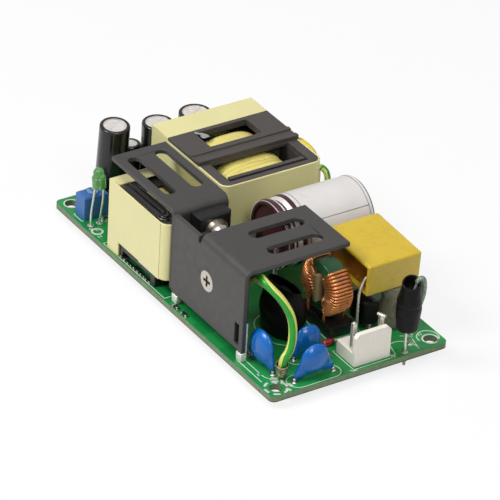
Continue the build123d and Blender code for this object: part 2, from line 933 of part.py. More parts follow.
choke_start_x = choke_end_x - choke_length
choke_outside = taped_outline(choke_length, choke_width, choke_tape_corner, choke_x, choke_y)
choke_inside = taped_outline(choke_core_length, choke_core_width, choke_corner, choke_x, choke_y)
with BuildPart() as choke_tape:
    with BuildSketch(Plane.XY.offset(choke_tape_bottom)):
        add(choke_outside)
        add(choke_inside, mode=Mode.SUBTRACT)
    extrude(amount=choke_tape_top - choke_tape_bottom)
    with BuildSketch(Plane.XY.offset(board_top)):
        add(choke_outside)
        add(choke_inside, mode=Mode.SUBTRACT)
        with Locations((choke_start_x + choke_foot_length, choke_y)):
            Rectangle(choke_length, choke_width, align=(Align.MIN, Align.CENTER), mode=Mode.SUBTRACT)
    extrude(amount=choke_tape_bottom - board_top)
    with BuildSketch(Plane.XY.offset(choke_tape_top - tape)):
        add(choke_outside)
        with Locations((choke_start_x + choke_flap, choke_y)):
            Rectangle(choke_length, choke_width, align=(Align.MIN, Align.CENTER), mode=Mode.SUBTRACT)
    extrude(amount=tape)

# Main transformer: its bobbin carries two windings side by side under two top windows
transformer_core_length = transformer_length - 2 * tape
transformer_core_width = transformer_width - 2 * tape
transformer_corner = transformer_tape_corner - tape
transformer_core_top = transformer_tape_top - transformer_step
transformer_start_x = transformer_end_x - transformer_length
transformer_core = core_pair(
    transformer_core_length,
    transformer_core_width,
    transformer_corner,
    transformer_tape_bottom,
    transformer_core_top,
    transformer_leg,
    transformer_yoke,
    transformer_post_radius,
    transformer_x,
    transformer_y,
)
transformer_outside = taped_outline(
    transformer_length, transformer_width, transformer_tape_corner, transformer_x, transformer_y
)
transformer_inside = taped_outline(
    transformer_core_length,
    transformer_core_width,
    transformer_corner,
    transformer_x,
    transformer_y,
)
coil_axis_z = (transformer_tape_bottom + transformer_core_top) / 2
coil_room = transformer_core_length / 2 - transformer_yoke - winding_gap
coil_opening = transformer_core_width - 2 * transformer_leg - 2 * winding_gap
coil_tube = transformer_post_radius + winding_gap + bobbin_wall
coil_start_x = transformer_x - coil_room + flange_wall
coil_split_x = coil_start_x + primary_length
plate_end_x = transformer_start_x + plate_end
with BuildPart() as transformer_bobbin:
    with BuildSketch(facing_front(transformer_x - coil_room)):
        with Locations((transformer_y, coil_axis_z)):
            Circle(coil_tube)
            Circle(transformer_post_radius + winding_gap, mode=Mode.SUBTRACT)
    extrude(amount=2 * coil_room)
    with BuildSketch(facing_front(transformer_x - coil_room)) as wall:
        with Locations((transformer_y, board_top)):
            Rectangle(
                coil_opening, transformer_tape_top - board_top, align=(Align.CENTER, Align.MIN)
            )
        with Locations((transformer_y, coil_axis_z)):
            Circle(transformer_post_radius + winding_gap, mode=Mode.SUBTRACT)
    extrude(amount=flange_wall)
    for step in (coil_split_x - transformer_x + coil_room, 2 * coil_room - flange_wall):
        extrude(wall.sketch.moved(Location((step, 0, 0))), amount=flange_wall)
    with BuildSketch(Plane.XY.offset(transformer_core_top)):
        add(transformer_inside)
        with Locations((transformer_end_x - frame_window_end, transformer_y)):
            Rectangle(
                frame_window_length,
                frame_window_width,
                align=(Align.MAX, Align.CENTER),
                mode=Mode.SUBTRACT,
            )
    extrude(amount=transformer_step)
    with BuildSketch(Plane.XY.offset(transformer_tape_top)):
        add(transformer_inside)
        with Locations((transformer_start_x + strip_width, transformer_y)):
            Rectangle(
                transformer_length,
                transformer_width,
                align=(Align.MIN, Align.CENTER),
                mode=Mode.SUBTRACT,
            )
    extrude(amount=transformer_plate_top - tape - transformer_tape_top)
    with BuildSketch(Plane.XY.offset(transformer_tape_top)):
        with Locations((transformer_start_x + strip_width, transformer_y)):
            Rectangle(
                plate_end - strip_width, transformer_width, align=(Align.MIN, Align.CENTER)
            )
    extrude(amount=transformer_plate_top - transformer_tape_top)
    with BuildSketch(Plane.XY.offset(transformer_plate_top)):
        with Locations(*[(plate_end_x - rail_width / 2 - i * rail_pitch, transformer_y) for i in range(2)]):
            Rectangle(rail_width, transformer_width)
    extrude(amount=rail_height)
    with BuildSketch(Plane.XY.offset(transformer_plate_top)):
        with Locations((transformer_start_x + strip_width + plate_window_end, transformer_y)):
            Rectangle(
                plate_window_length, plate_window_width, align=(Align.MIN, Align.CENTER)
            )
    extrude(amount=transformer_core_top - transformer_plate_top, mode=Mode.SUBTRACT)
    with BuildSketch(Plane.XY.offset(board_top)):
        with Locations((transformer_x, transformer_y)):
            with GridLocations(2 * transformer_pin_x, 1, 2, 1):
                Rectangle(3 * bobbin_pin, transformer_core_width)
    extrude(amount=transformer_tape_bottom - board_top)
    with Locations(*[(x, y, board_top) for x, y in transformer_pins]):
        Box(bobbin_pin, bobbin_pin, 2 * flange_wall, mode=Mode.SUBTRACT)

transformer_winding_radius = coil_opening / 2 - winding_room
transformer_winding_height = 2 * (transformer_core_top - transformer_winding_drop - coil_axis_z)
primary_winding = taped_winding(
    coil_start_x,
    coil_split_x,
    coil_tube,
    transformer_winding_radius,
    transformer_winding_height,
    transformer_y,
    coil_axis_z,
)
secondary_winding = taped_winding(
    coil_split_x + flange_wall,
    transformer_x + coil_room - flange_wall,
    coil_tube,
    transformer_winding_radius,
    transformer_winding_height,
    transformer_y,
    coil_axis_z,
)

with BuildPart() as transformer_tape:
    with BuildSketch(Plane.XY.offset(transformer_tape_bottom)):
        add(transformer_outside)
        add(transformer_inside, mode=Mode.SUBTRACT)
    extrude(amount=transformer_tape_top - transformer_tape_bottom)
    with BuildSketch(Plane.XY.offset(transformer_tape_top)):
        add(transformer_outside)
        with Locations((transformer_start_x + strip_width, transformer_y)):
            Rectangle(
                transformer_length,
                transformer_width,
                align=(Align.MIN, Align.CENTER),
                mode=Mode.SUBTRACT,
            )
    extrude(amount=transformer_plate_top - transformer_tape_top)
    with BuildSketch(Plane.XY.offset(transformer_plate_top - tape)):
        add(transformer_inside)
    extrude(amount=transformer_tape_top + tape - transformer_plate_top, mode=Mode.SUBTRACT)

with BuildPart() as bobbin_pins:
    stand_leads(choke_pins + transformer_pins, bobbin_pin, board_top + flange_wall)

# Bulk capacitor: a can with a rubber seal, a shrunk sleeve and a plain label round it
bulk_end_y = bulk_start_y + bulk_length
can_radius = bulk_radius - 2 * bulk_film
sleeve_radius = bulk_radius - bulk_film
seal_radius = can_radius - bulk_groove_depth - bulk_film
groove_y = bulk_start_y + bulk_groove_reach
bulk_plane = Plane((bulk_x, 0, bulk_z))
bulk_axis = Axis((bulk_x, 0, bulk_z), (0, 1, 0))


def groove_outline(radius, start, end):
    """The outline of a can of this radius, from its axis round to its axis."""
    Polyline(
        (0, start),
        (radius, start),
        (radius, groove_y - bulk_groove_width / 2),
        (radius - bulk_groove_depth, groove_y),
        (radius, groove_y + bulk_groove_width / 2),
        (radius, end),
        (0, end),
        close=True,
    )


with BuildPart() as bulk_capacitor_can:
    with BuildSketch(bulk_plane):
        with BuildLine():
            groove_outline(can_radius, bulk_start_y, bulk_end_y)
        make_face()
        with Locations((0, bulk_start_y)):
            Rectangle(
                2 * seal_radius,
                seal_inset + seal_thickness,
                align=(Align.CENTER, Align.MIN),
                mode=Mode.SUBTRACT,
            )
    revolve(axis=bulk_axis)

with BuildPart() as bulk_capacitor_seal:
    with BuildSketch(facing_back(bulk_start_y + seal_inset)):
        with Locations((bulk_x, bulk_z)):
            Circle(seal_radius)
    extrude(amount=-seal_thickness)

with BuildPart() as bulk_capacitor_sleeve:
    with BuildSketch(bulk_plane):
        with BuildLine():
            groove_outline(sleeve_radius, bulk_start_y - bulk_film, bulk_end_y + bulk_film)
        make_face()
        Rectangle(2 * seal_radius, 4 * bulk_length, mode=Mode.SUBTRACT)
    revolve(axis=bulk_axis)
    add(bulk_capacitor_can.part, mode=Mode.SUBTRACT)

with BuildPart() as bulk_capacitor_label:
    with BuildSketch(facing_back(bulk_start_y + bulk_label_start)):
        with Locations((bulk_x, bulk_z)):
            Circle(bulk_radius)
            Circle(sleeve_radius, mode=Mode.SUBTRACT)
    extrude(amount=bulk_label_start - bulk_length)

bulk_lead_pair = [
    bent_lead([(x, bulk_start_y + seal_inset, bulk_z), (x, y, bulk_z), (x, y, -lead_drop)], stout_lead)
    for x, y in bulk_lead_points
]
with BuildPart() as bulk_capacitor_leads:
    for lead in bulk_lead_pair:
        add(lead.part)

# Box capacitor: an open plastic case filled with resin, one end a little lower
with BuildPart() as x_capacitor_case:
    with BuildSketch(box_plane.offset(-box_height / 2)):
        Rectangle(box_length, box_width)
    extrude(amount=box_height)
    chamfer(edges(), length=box_bevel)
    with Locations(box_plane.shift_origin(box_plane.from_local_coords((0, -box_wall, 0)))):
        Box(box_length - 2 * box_wall, box_width, box_height - 2 * box_wall, mode=Mode.SUBTRACT)

with BuildPart() as x_capacitor_resin:
    with Locations(box_plane.shift_origin(box_plane.from_local_coords((0, (box_recess - box_wall) / 2, 0)))):
        Box(box_length - 2 * box_wall, box_width - box_recess - box_wall, box_height - 2 * box_wall)

box_lead_pair = [
    bent_lead([start, (start.X, box_lead_y, start.Z), (start.X, box_lead_y, -lead_drop)], stout_lead)
    for start in box_lead_starts
]
with BuildPart() as x_capacitor_leads:
    for lead in box_lead_pair:
        add(lead.part)

with BuildPart() as silicone_bead:
    with BuildSketch(Plane.XY.offset(board_top)):
        with Locations((bead_x, bead_y)):
            Circle(bead_radius)
    extrude(amount=box_centre_z - board_top, taper=bead_taper)
    add(x_capacitor_case.part, mode=Mode.SUBTRACT)
    add(x_capacitor_resin.part, mode=Mode.SUBTRACT)

# Line choke: a coated ring with a copper winding on each half and a plate between
ring_start_y = ring_y - ring_width / 2
ring_plane = facing_back(ring_start_y)
with BuildPart() as line_choke_core:
    with BuildSketch(ring_plane):
        with Locations((ring_x, ring_z)):
            Circle(ring_outer)
            Circle(ring_inner, mode=Mode.SUBTRACT)
    extrude(amount=-ring_width)


def ring_winding(side, lead_points):
    """The winding on one side of the ring, each turn a ridge on it, and its two ends."""
    turn_middle = (ring_outer + ring_inner) / 2
    turn_length = ring_outer - ring_inner + 2 * turn_wire
    layer_length = ring_outer - ring_inner + turn_wire
    middle = 0 if side > 0 else 180
    start = radians(middle - turn_sweep / 2)
    centre = (ring_x, ring_y, ring_z)
    with BuildPart() as winding:
        first = Plane(centre, x_dir=(cos(start), 0, sin(start)), z_dir=(-sin(start), 0, cos(start)))
        with BuildSketch(first):
            with Locations((turn_middle, 0)):
                Rectangle(layer_length, ring_width + turn_wire)
        revolve(axis=Axis(centre, (0, -1, 0)), revolution_arc=turn_sweep)
        for i in range(turn_count):
            angle = radians(middle + (i / (turn_count - 1) - 0.5) * turn_sweep)
            place = (
                ring_x + turn_middle * cos(angle),
                ring_y,
                ring_z + turn_middle * sin(angle),
            )
            with Locations(Plane(place, x_dir=(cos(angle), 0, sin(angle)), z_dir=(0, -1, 0))):
                Box(turn_length, turn_ridge, ring_width + 2 * turn_wire)
        stand_leads(lead_points, turn_wire, ring_z - ring_lead_drop)
        add(line_choke_core.part, mode=Mode.SUBTRACT)
    return winding


line_choke_winding_left = ring_winding(-1, ring_lead_points[:2])
line_choke_winding_right = ring_winding(1, ring_lead_points[2:])

with BuildPart() as line_choke_divider:
    with BuildSketch(facing_back(ring_y - choke_base_width / 2)):
        with Locations((ring_x, ring_z)):
            Rectangle(divider_thickness, 2 * (ring_inner - winding_gap))
    extrude(amount=-choke_base_width)

with BuildPart() as line_choke_base:
    with BuildSketch(Plane.XY.offset(board_top)):
        with Locations((ring_x, ring_y)):
            Rectangle(choke_base_length, choke_base_width)
        with Locations(*ring_lead_points):
            Rectangle(turn_wire, turn_wire, mode=Mode.SUBTRACT)
    extrude(amount=choke_base_height)

# Varistor: a coated disc that stands in a flattened shrink sleeve
with BuildPart() as varistor:
    with BuildSketch(facing_back(varistor_y - varistor_thickness / 2)):
        with Locations((varistor_x, varistor_z)):
            Circle(varistor_radius)
    extrude(amount=-varistor_thickness)
    chamfer(edges(), length=varistor_bevel)
    stand_leads(varistor_leads, thin_lead, varistor_z)

def flat_oval(reach, depth):
    """Corners of a flat sided oval of these half widths."""
    corners = [radians(360 * i / oval_sides) for i in range(oval_sides)]
    return [(reach * cos(corner), depth * sin(corner)) for corner in corners]


sleeve_levels = [board_top, varistor_sleeve_belly, varistor_sleeve_top]
with BuildPart() as varistor_sleeve:
    for wall, mode in ((0, Mode.ADD), (sleeve_wall, Mode.SUBTRACT)):
        for z, reach, depth in zip(sleeve_levels, varistor_sleeve_reaches, varistor_sleeve_depths):
            with BuildSketch(Plane((varistor_x, varistor_y, z))):
                with BuildLine():
                    Polyline(*flat_oval(reach - wall, depth - wall), close=True)
                make_face()
        loft(ruled=True, mode=mode)

# Thermistor in its black moulding
with BuildPart() as thermistor:
    with BuildSketch(Plane.XY.offset(board_top + thermistor_rise)):
        with Locations((thermistor_x, thermistor_y)):
            RectangleRounded(thermistor_length, thermistor_width, thermistor_corner)
    extrude(amount=thermistor_height)
    chamfer(edges().group_by(Axis.Z)[-1], length=thermistor_corner / 2)
    stand_leads(thermistor_leads, thin_lead, board_top + 2 * thermistor_rise)


def disc_capacitor(plane, radius, lead_pitch, lead_points):
    """A dipped disc that stands on the board on two coated legs."""
    centre = plane.from_local_coords((0, 0, disc_rise))
    leg_foot = board_top + disc_foot_gap
    leg_inner = (lead_pitch - disc_leg_width) / 2
    leg_outer = (lead_pitch + disc_leg_width) / 2
    flat = radius * disc_flat
    shoulder = radius * cos(radians(20))
    with BuildPart() as disc:
        with BuildSketch(Plane(centre, x_dir=plane.x_dir, z_dir=plane.z_dir)):
            with BuildLine():
                Polyline(
                    (0, -disc_thickness / 2),
                    (flat, -disc_thickness / 2),
                    (radius, -disc_rim / 2),
                    (radius, disc_rim / 2),
                    (flat, disc_thickness / 2),
                    (0, disc_thickness / 2),
                    close=True,
                )
            make_face()
        revolve(axis=Axis(centre, plane.y_dir))
        with BuildSketch(Plane(plane.origin, x_dir=plane.x_dir, z_dir=-plane.y_dir)):
            with BuildLine():
                Polyline(
                    (-shoulder, disc_rise),
                    (-leg_outer, leg_foot),
                    (-leg_inner, leg_foot),
                    (0, disc_rise - radius + disc_crotch),
                    (leg_inner, leg_foot),
                    (leg_outer, leg_foot),
                    (shoulder, disc_rise),
                    close=True,
                )
            make_face()
        extrude(amount=disc_leg_width / 2, both=True)
        stand_leads(lead_points, thin_lead, leg_foot + disc_foot_gap)
    return disc


y_capacitor_front = disc_capacitor(disc_planes[0], disc_radii[0], disc_pitches[0], disc_leads[:2])
y_capacitor_rear = disc_capacitor(disc_planes[1], disc_radii[1], disc_pitches[1], disc_leads[2:4])
y_capacitor_right = disc_capacitor(disc_planes[2], disc_radii[2], disc_pitches[2], disc_leads[4:])


def pin_header(outer_x, inward, centre_y, depth, width, pin_points):
    """A low block with a tall wall along the edge of the board, and holes for pins."""
    outer_side = Align.MAX if inward < 0 else Align.MIN
    with BuildPart() as header:
        with BuildSketch(Plane.XY.offset(board_top)):
            with Locations((outer_x, centre_y)):
                Rectangle(depth, width, align=(outer_side, Align.CENTER))
        extrude(amount=header_height)
        with BuildSketch(Plane.XY.offset(board_top + header_height)):
            with Locations((outer_x, centre_y)):
                Rectangle(header_wall, width, align=(outer_side, Align.CENTER))
        extrude(amount=header_wall_height - header_height)
        chamfer(header.edges().filter_by(Axis.X).group_by(Axis.Z)[-1], length=header_wall_bevel)
        with Locations(*[(x, y, board_top) for x, y in pin_points]):
            Box(header_pin, header_pin, 3 * header_height, mode=Mode.SUBTRACT)
    return header


input_housing = pin_header(input_outer_x, -1, input_y, input_depth, input_width, input_pin_points)
output_housing = pin_header(
    output_outer_x, 1, output_y, output_depth, output_width, output_pin_points
)

with BuildPart() as input_pins:
    stand_leads(input_pin_points, header_pin, header_pin_top)

with BuildPart() as output_pins:
    stand_leads(output_pin_points, header_pin, header_pin_top)

# Standing fuse in a shrink sleeve that narrows above it
fuse_top = fuse_bottom + fuse_length
fuse_loop = round_wire(
    [
        (fuse_x, fuse_y, fuse_top),
        (fuse_x, fuse_y, fuse_lead_top),
        (fuse_x, fuse_y + fuse_belly + stout_lead, fuse_lead_top - stout_lead),
        (fuse_foot_x, fuse_foot_y, fuse_belly_z),
        (fuse_foot_x, fuse_foot_y, board_top),
    ],
    stout_lead / 2,
    fuse_lead_bend,
)
with BuildPart() as fuse:
    with BuildSketch(Plane.XY.offset(fuse_bottom)):
        with Locations((fuse_x, fuse_y)):
            Circle(fuse_radius)
    extrude(amount=fuse_length)
    stand_leads(fuse_leads[:1], stout_lead, fuse_bottom)
    add(fuse_loop.part)
    stand_leads(fuse_leads[1:], stout_lead, board_top + stout_lead)

sleeve_outline = [
    (fuse_radius + winding_gap + fuse_sleeve_wall, fuse_sleeve_bottom),
    (fuse_belly, fuse_belly_z),
    (fuse_sleeve_neck, fuse_neck_z),
    (fuse_sleeve_neck, fuse_sleeve_top),
]
with BuildPart() as fuse_sleeve:
    with BuildSketch(Plane((fuse_x, fuse_y, 0), x_dir=(1, 0, 0), z_dir=(0, -1, 0))):
        with BuildLine():
            Polyline(
                *sleeve_outline,
                *[(radius - fuse_sleeve_wall, z) for radius, z in reversed(sleeve_outline)],
                close=True,
            )
        make_face()
    revolve(axis=Axis((fuse_x, fuse_y, 0), (0, 0, 1)))

# Small axial diode that lies along Y
with BuildPart() as signal_diode:
    with BuildSketch(facing_back(diode_y - diode_length / 2)):
        with Locations((diode_x, board_top + diode_radius)):
            Circle(diode_radius)
    extrude(amount=-diode_length)
    with BuildSketch(facing_back(diode_y - diode_pitch / 2)):
        with Locations((diode_x, board_top + diode_radius)):
            Rectangle(thin_lead, thin_lead)
    extrude(amount=-diode_pitch)
    stand_leads(diode_leads, thin_lead, board_top + diode_radius + thin_lead / 2)

# Green lamp on its long leads
with BuildPart() as led_lens:
    with BuildSketch(Plane((lamp_x, lamp_y, lamp_bottom), x_dir=(1, 0, 0), z_dir=(0, -1, 0))):
        with BuildLine():
            Polyline(
                (0, 0),
                (lamp_rim_radius, 0),
                (lamp_rim_radius, lamp_rim_height),
                (lamp_radius, lamp_rim_height),
                *[
                    (lamp_radius * cos(radians(i * 30)), lamp_height - lamp_radius * (1 - sin(radians(i * 30))))
                    for i in range(4)
                ],
                close=True,
            )
        make_face()
    revolve(axis=Axis((lamp_x, lamp_y, 0), (0, 0, 1)))

lamp_lead_pair = [
    bent_lead(
        [
            (lamp_x, lamp_y + side * lamp_spread, lamp_bottom),
            (lamp_foot_x, lamp_foot_y + side * lamp_pitch / 2, lamp_bend_z),
            (lamp_foot_x, lamp_foot_y + side * lamp_pitch / 2, -lead_drop),
        ],
        lamp_lead,
    )
    for side in (-1, 1)
]
with BuildPart() as led_leads:
    for lead in lamp_lead_pair:
        add(lead.part)
    split(bisect_by=Plane.XY.offset(lamp_bottom), keep=Keep.BOTTOM)

# Voltage trimmer: only its rotor turns, in a pocket of the body
rotor_top = board_top + trimmer_height + rotor_rise
rotor_floor = board_top + trimmer_height - rotor_depth
with BuildPart() as trimmer_body:
    with BuildSketch(Plane.XY.offset(board_top)):
        with Locations((trimmer_x, trimmer_y)):
            Rectangle(trimmer_width, trimmer_length)
    extrude(amount=trimmer_height)
    chamfer(edges().group_by(Axis.Z)[-1], length=trimmer_bevel)
    with BuildSketch(Plane.XY.offset(board_top + trimmer_height)):
        with Locations((trimmer_x, trimmer_y)):
            Circle(rotor_radius + rotor_clearance)
    extrude(amount=-rotor_depth, mode=Mode.SUBTRACT)
    stand_leads(trimmer_leads, thin_lead, board_top + thin_lead)

with BuildPart() as trimmer_rotor:
    with BuildSketch(Plane.XY.offset(rotor_floor + rotor_clearance)):
        with Locations((trimmer_x, trimmer_y)):
            Circle(rotor_radius)
    extrude(amount=rotor_top - rotor_floor - rotor_clearance)
    with BuildSketch(Plane.XY.offset(rotor_top)):
        with Locations((trimmer_x, trimmer_y)):
            Rectangle(3 * rotor_radius, rotor_slot)
    extrude(amount=-rotor_depth / 2, mode=Mode.SUBTRACT)

# Output capacitors, the first of them a little crooked, and a small one behind it
output_capacitor_1 = electrolytic(lean_plane, lean_radius, output_height, output_can_leads[:2])
output_capacitor_2 = electrolytic(
    middle_plane, middle_radius, output_height, output_can_leads[2:4]
)
output_capacitor_3 = electrolytic(rear_plane, rear_radius, output_height, output_can_leads[4:])
small_capacitor = electrolytic(small_plane, small_radius, small_height, small_can_leads)

# Insulated wires that leave the transformer on its far side
secondary_wires = [
    round_wire(
        [
            (x - reach, far_wire_y, z),
            (x - reach, secondary_y, z),
            (x, secondary_y, z - secondary_fall),
            (x, secondary_y, board_top + lead_drop / 2),
        ],
        secondary_wire_radius,
        secondary_bend,
    )
    for x, reach, z in secondary_routes
]
with BuildPart() as secondary_leads:
    for wire in secondary_wires:
        add(wire.part)
    stand_leads(secondary_feet, stout_lead, board_top + lead_drop)

shield_wire = round_wire(
    [
        (shield_start_x, far_wire_y, shield_start_z),
        (shield_start_x, secondary_y, shield_start_z),
        (shield_foot_x, far_wire_y + shield_bulge_run, shield_bulge_z),
        (*shield_foot, board_top + lead_drop / 2),
    ],
    shield_wire_radius,
    shield_bend,
)
with BuildPart() as shield_lead:
    add(shield_wire.part)
    stand_leads([shield_foot], thin_lead, board_top + lead_drop)

# Earth wire, crimped in a terminal at one end and soldered in the board at the other
with BuildPart() as earth_terminal:
    with BuildSketch(terminal_plane.offset(-terminal_radius)):
        Circle(terminal_radius)
    extrude(amount=terminal_radius + terminal_height)
    with BuildSketch(terminal_plane.offset(terminal_height)):
        Circle(earth_wire_radius)
    extrude(amount=-terminal_depth, mode=Mode.SUBTRACT)
    split(bisect_by=Plane.XY.offset(board_top), keep=Keep.TOP)
    stand_leads([terminal_point], stout_lead, board_top + terminal_height - terminal_depth)

crimp_end = terminal_plane.from_local_coords((0, 0, terminal_height - terminal_depth))
crimp_exit = terminal_plane.from_local_coords((0, 0, terminal_height + wire_lead_out))
wire_route = [
    (1.2, 0.9, 9.0),
    (0.4, 2.4, 12.0),
    (-1.7, 3.3, 16.4),
    (-4.4, 2.0, 20.2),
    (-7.8, -0.3, 23.2),
    (-11.6, 0.0, 23.4),
]
held_wire = round_wire(
    [
        crimp_end,
        crimp_exit,
        *[(terminal_x + x, terminal_y + y, z) for x, y, z in wire_route],
        *[(wire_foot_x + x, wire_foot_y + y, z) for x, y, z in reversed(wire_rise)],
        (wire_foot_x, wire_foot_y, board_top + 2 * lead_drop),
        (wire_foot_x, wire_foot_y, board_top + lead_drop / 2),
    ],
    earth_wire_radius,
    earth_wire_bend,
)
with BuildPart() as earth_wire:
    add(held_wire.part)
    stand_leads([wire_foot_point], stout_lead, board_top + lead_drop)

# Names, and one file for each piece
os.makedirs("parts", exist_ok=True)

circuit_board.part.label = "circuit_board"
export_step(circuit_board.part, "parts/circuit_board.step")
side_heatsink.part.label = "side_heatsink"
export_step(side_heatsink.part, "parts/side_heatsink.step")
top_heatsink.part.label = "top_heatsink"
export_step(top_heatsink.part, "parts/top_heatsink.step")
insulating_sheet.part.label = "insulating_sheet"
export_step(insulating_sheet.part, "parts/insulating_sheet.step")
countersunk_screw.part.label = "countersunk_screw"
export_step(countersunk_screw.part, "parts/countersunk_screw.step")
hex_nut.part.label = "hex_nut"
export_step(hex_nut.part, "parts/hex_nut.step")
bridge_rectifier.part.label = "bridge_rectifier"
export_step(bridge_rectifier.part, "parts/bridge_rectifier.step")
power_transistor.part.label = "power_transistor"
export_step(power_transistor.part, "parts/power_transistor.step")
clamp_screw.part.label = "clamp_screw"
export_step(clamp_screw.part, "parts/clamp_screw.step")
spring_washer.part.label = "spring_washer"
export_step(spring_washer.part, "parts/spring_washer.step")
flat_washer.part.label = "flat_washer"
export_step(flat_washer.part, "parts/flat_washer.step")
choke_bobbin.part.label = "choke_bobbin"
export_step(choke_bobbin.part, "parts/choke_bobbin.step")
choke_core.part.label = "choke_core"
export_step(choke_core.part, "parts/choke_core.step")
choke_winding.part.label = "choke_winding"
export_step(choke_winding.part, "parts/choke_winding.step")
choke_tape.part.label = "choke_tape"
export_step(choke_tape.part, "parts/choke_tape.step")
transformer_bobbin.part.label = "transformer_bobbin"
export_step(transformer_bobbin.part, "parts/transformer_bobbin.step")
transformer_core.part.label = "transformer_core"
export_step(transformer_core.part, "parts/transformer_core.step")
primary_winding.part.label = "primary_winding"
export_step(primary_winding.part, "parts/primary_winding.step")
secondary_winding.part.label = "secondary_winding"
export_step(secondary_winding.part, "parts/secondary_winding.step")
transformer_tape.part.label = "transformer_tape"
export_step(transformer_tape.part, "parts/transformer_tape.step")
secondary_leads.part.label = "secondary_leads"
export_step(secondary_leads.part, "parts/secondary_leads.step")
shield_lead.part.label = "shield_lead"
export_step(shield_lead.part, "parts/shield_lead.step")
bobbin_pins.part.label = "bobbin_pins"
export_step(bobbin_pins.part, "parts/bobbin_pins.step")
bulk_capacitor_can.part.label = "bulk_capacitor_can"
export_step(bulk_capacitor_can.part, "parts/bulk_capacitor_can.step")
bulk_capacitor_seal.part.label = "bulk_capacitor_seal"
export_step(bulk_capacitor_seal.part, "parts/bulk_capacitor_seal.step")
bulk_capacitor_sleeve.part.label = "bulk_capacitor_sleeve"
export_step(bulk_capacitor_sleeve.part, "parts/bulk_capacitor_sleeve.step")
bulk_capacitor_label.part.label = "bulk_capacitor_label"
export_step(bulk_capacitor_label.part, "parts/bulk_capacitor_label.step")
bulk_capacitor_leads.part.label = "bulk_capacitor_leads"
export_step(bulk_capacitor_leads.part, "parts/bulk_capacitor_leads.step")
x_capacitor_case.part.label = "x_capacitor_case"
export_step(x_capacitor_case.part, "parts/x_capacitor_case.step")
x_capacitor_resin.part.label = "x_capacitor_resin"
export_step(x_capacitor_resin.part, "parts/x_capacitor_resin.step")
x_capacitor_leads.part.label = "x_capacitor_leads"
export_step(x_capacitor_leads.part, "parts/x_capacitor_leads.step")
silicone_bead.part.label = "silicone_bead"
export_step(silicone_bead.part, "parts/silicone_bead.step")
line_choke_core.part.label = "line_choke_core"
export_step(line_choke_core.part, "parts/line_choke_core.step")
line_choke_winding_left.part.label = "line_choke_winding_left"
export_step(line_choke_winding_left.part, "parts/line_choke_winding_left.step")
line_choke_winding_right.part.label = "line_choke_winding_right"
export_step(line_choke_winding_right.part, "parts/line_choke_winding_right.step")
line_choke_divider.part.label = "line_choke_divider"
export_step(line_choke_divider.part, "parts/line_choke_divider.step")
line_choke_base.part.label = "line_choke_base"
export_step(line_choke_base.part, "parts/line_choke_base.step")
varistor_sleeve.part.label = "varistor_sleeve"
export_step(varistor_sleeve.part, "parts/varistor_sleeve.step")
varistor.part.label = "varistor"
export_step(varistor.part, "parts/varistor.step")
thermistor.part.label = "thermistor"
export_step(thermistor.part, "parts/thermistor.step")
y_capacitor_front.part.label = "y_capacitor_front"
export_step(y_capacitor_front.part, "parts/y_capacitor_front.step")
y_capacitor_rear.part.label = "y_capacitor_rear"
export_step(y_capacitor_rear.part, "parts/y_capacitor_rear.step")
y_capacitor_right.part.label = "y_capacitor_right"
export_step(y_capacitor_right.part, "parts/y_capacitor_right.step")
input_housing.part.label = "input_housing"
export_step(input_housing.part, "parts/input_housing.step")
input_pins.part.label = "input_pins"
export_step(input_pins.part, "parts/input_pins.step")
output_housing.part.label = "output_housing"
export_step(output_housing.part, "parts/output_housing.step")
output_pins.part.label = "output_pins"
export_step(output_pins.part, "parts/output_pins.step")
fuse_sleeve.part.label = "fuse_sleeve"
export_step(fuse_sleeve.part, "parts/fuse_sleeve.step")
fuse.part.label = "fuse"
export_step(fuse.part, "parts/fuse.step")
led_lens.part.label = "led_lens"
export_step(led_lens.part, "parts/led_lens.step")
led_leads.part.label = "led_leads"
export_step(led_leads.part, "parts/led_leads.step")
trimmer_body.part.label = "trimmer_body"
export_step(trimmer_body.part, "parts/trimmer_body.step")
trimmer_rotor.part.label = "trimmer_rotor"
export_step(trimmer_rotor.part, "parts/trimmer_rotor.step")
output_capacitor_1.part.label = "output_capacitor_1"
export_step(output_capacitor_1.part, "parts/output_capacitor_1.step")
output_capacitor_2.part.label = "output_capacitor_2"
export_step(output_capacitor_2.part, "parts/output_capacitor_2.step")
output_capacitor_3.part.label = "output_capacitor_3"
export_step(output_capacitor_3.part, "parts/output_capacitor_3.step")
small_capacitor.part.label = "small_capacitor"
export_step(small_capacitor.part, "parts/small_capacitor.step")
earth_wire.part.label = "earth_wire"
export_step(earth_wire.part, "parts/earth_wire.step")
earth_terminal.part.label = "earth_terminal"
export_step(earth_terminal.part, "parts/earth_terminal.step")
signal_diode.part.label = "signal_diode"
export_step(signal_diode.part, "parts/signal_diode.step")
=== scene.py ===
import math

import bmesh
import bpy
from mathutils import Matrix, Vector, noise


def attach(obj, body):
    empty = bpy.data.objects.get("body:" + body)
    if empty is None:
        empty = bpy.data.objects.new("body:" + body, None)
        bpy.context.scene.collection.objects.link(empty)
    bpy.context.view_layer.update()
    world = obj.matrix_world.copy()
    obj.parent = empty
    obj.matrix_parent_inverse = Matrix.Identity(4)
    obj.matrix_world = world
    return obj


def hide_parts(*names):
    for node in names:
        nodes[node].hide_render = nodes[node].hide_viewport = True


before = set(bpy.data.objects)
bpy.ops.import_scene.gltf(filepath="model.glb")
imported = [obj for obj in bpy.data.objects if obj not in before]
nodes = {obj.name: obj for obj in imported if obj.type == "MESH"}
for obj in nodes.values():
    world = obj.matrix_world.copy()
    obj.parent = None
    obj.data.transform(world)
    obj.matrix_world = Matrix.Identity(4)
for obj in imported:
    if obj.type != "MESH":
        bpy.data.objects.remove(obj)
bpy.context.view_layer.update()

# Sizes and places are in millimetres, Z is measured from the underside of the board
MM = 0.001
BOARD_TOP = 1.6
LEAD_TIP = -2.0
MAIN = "supply"
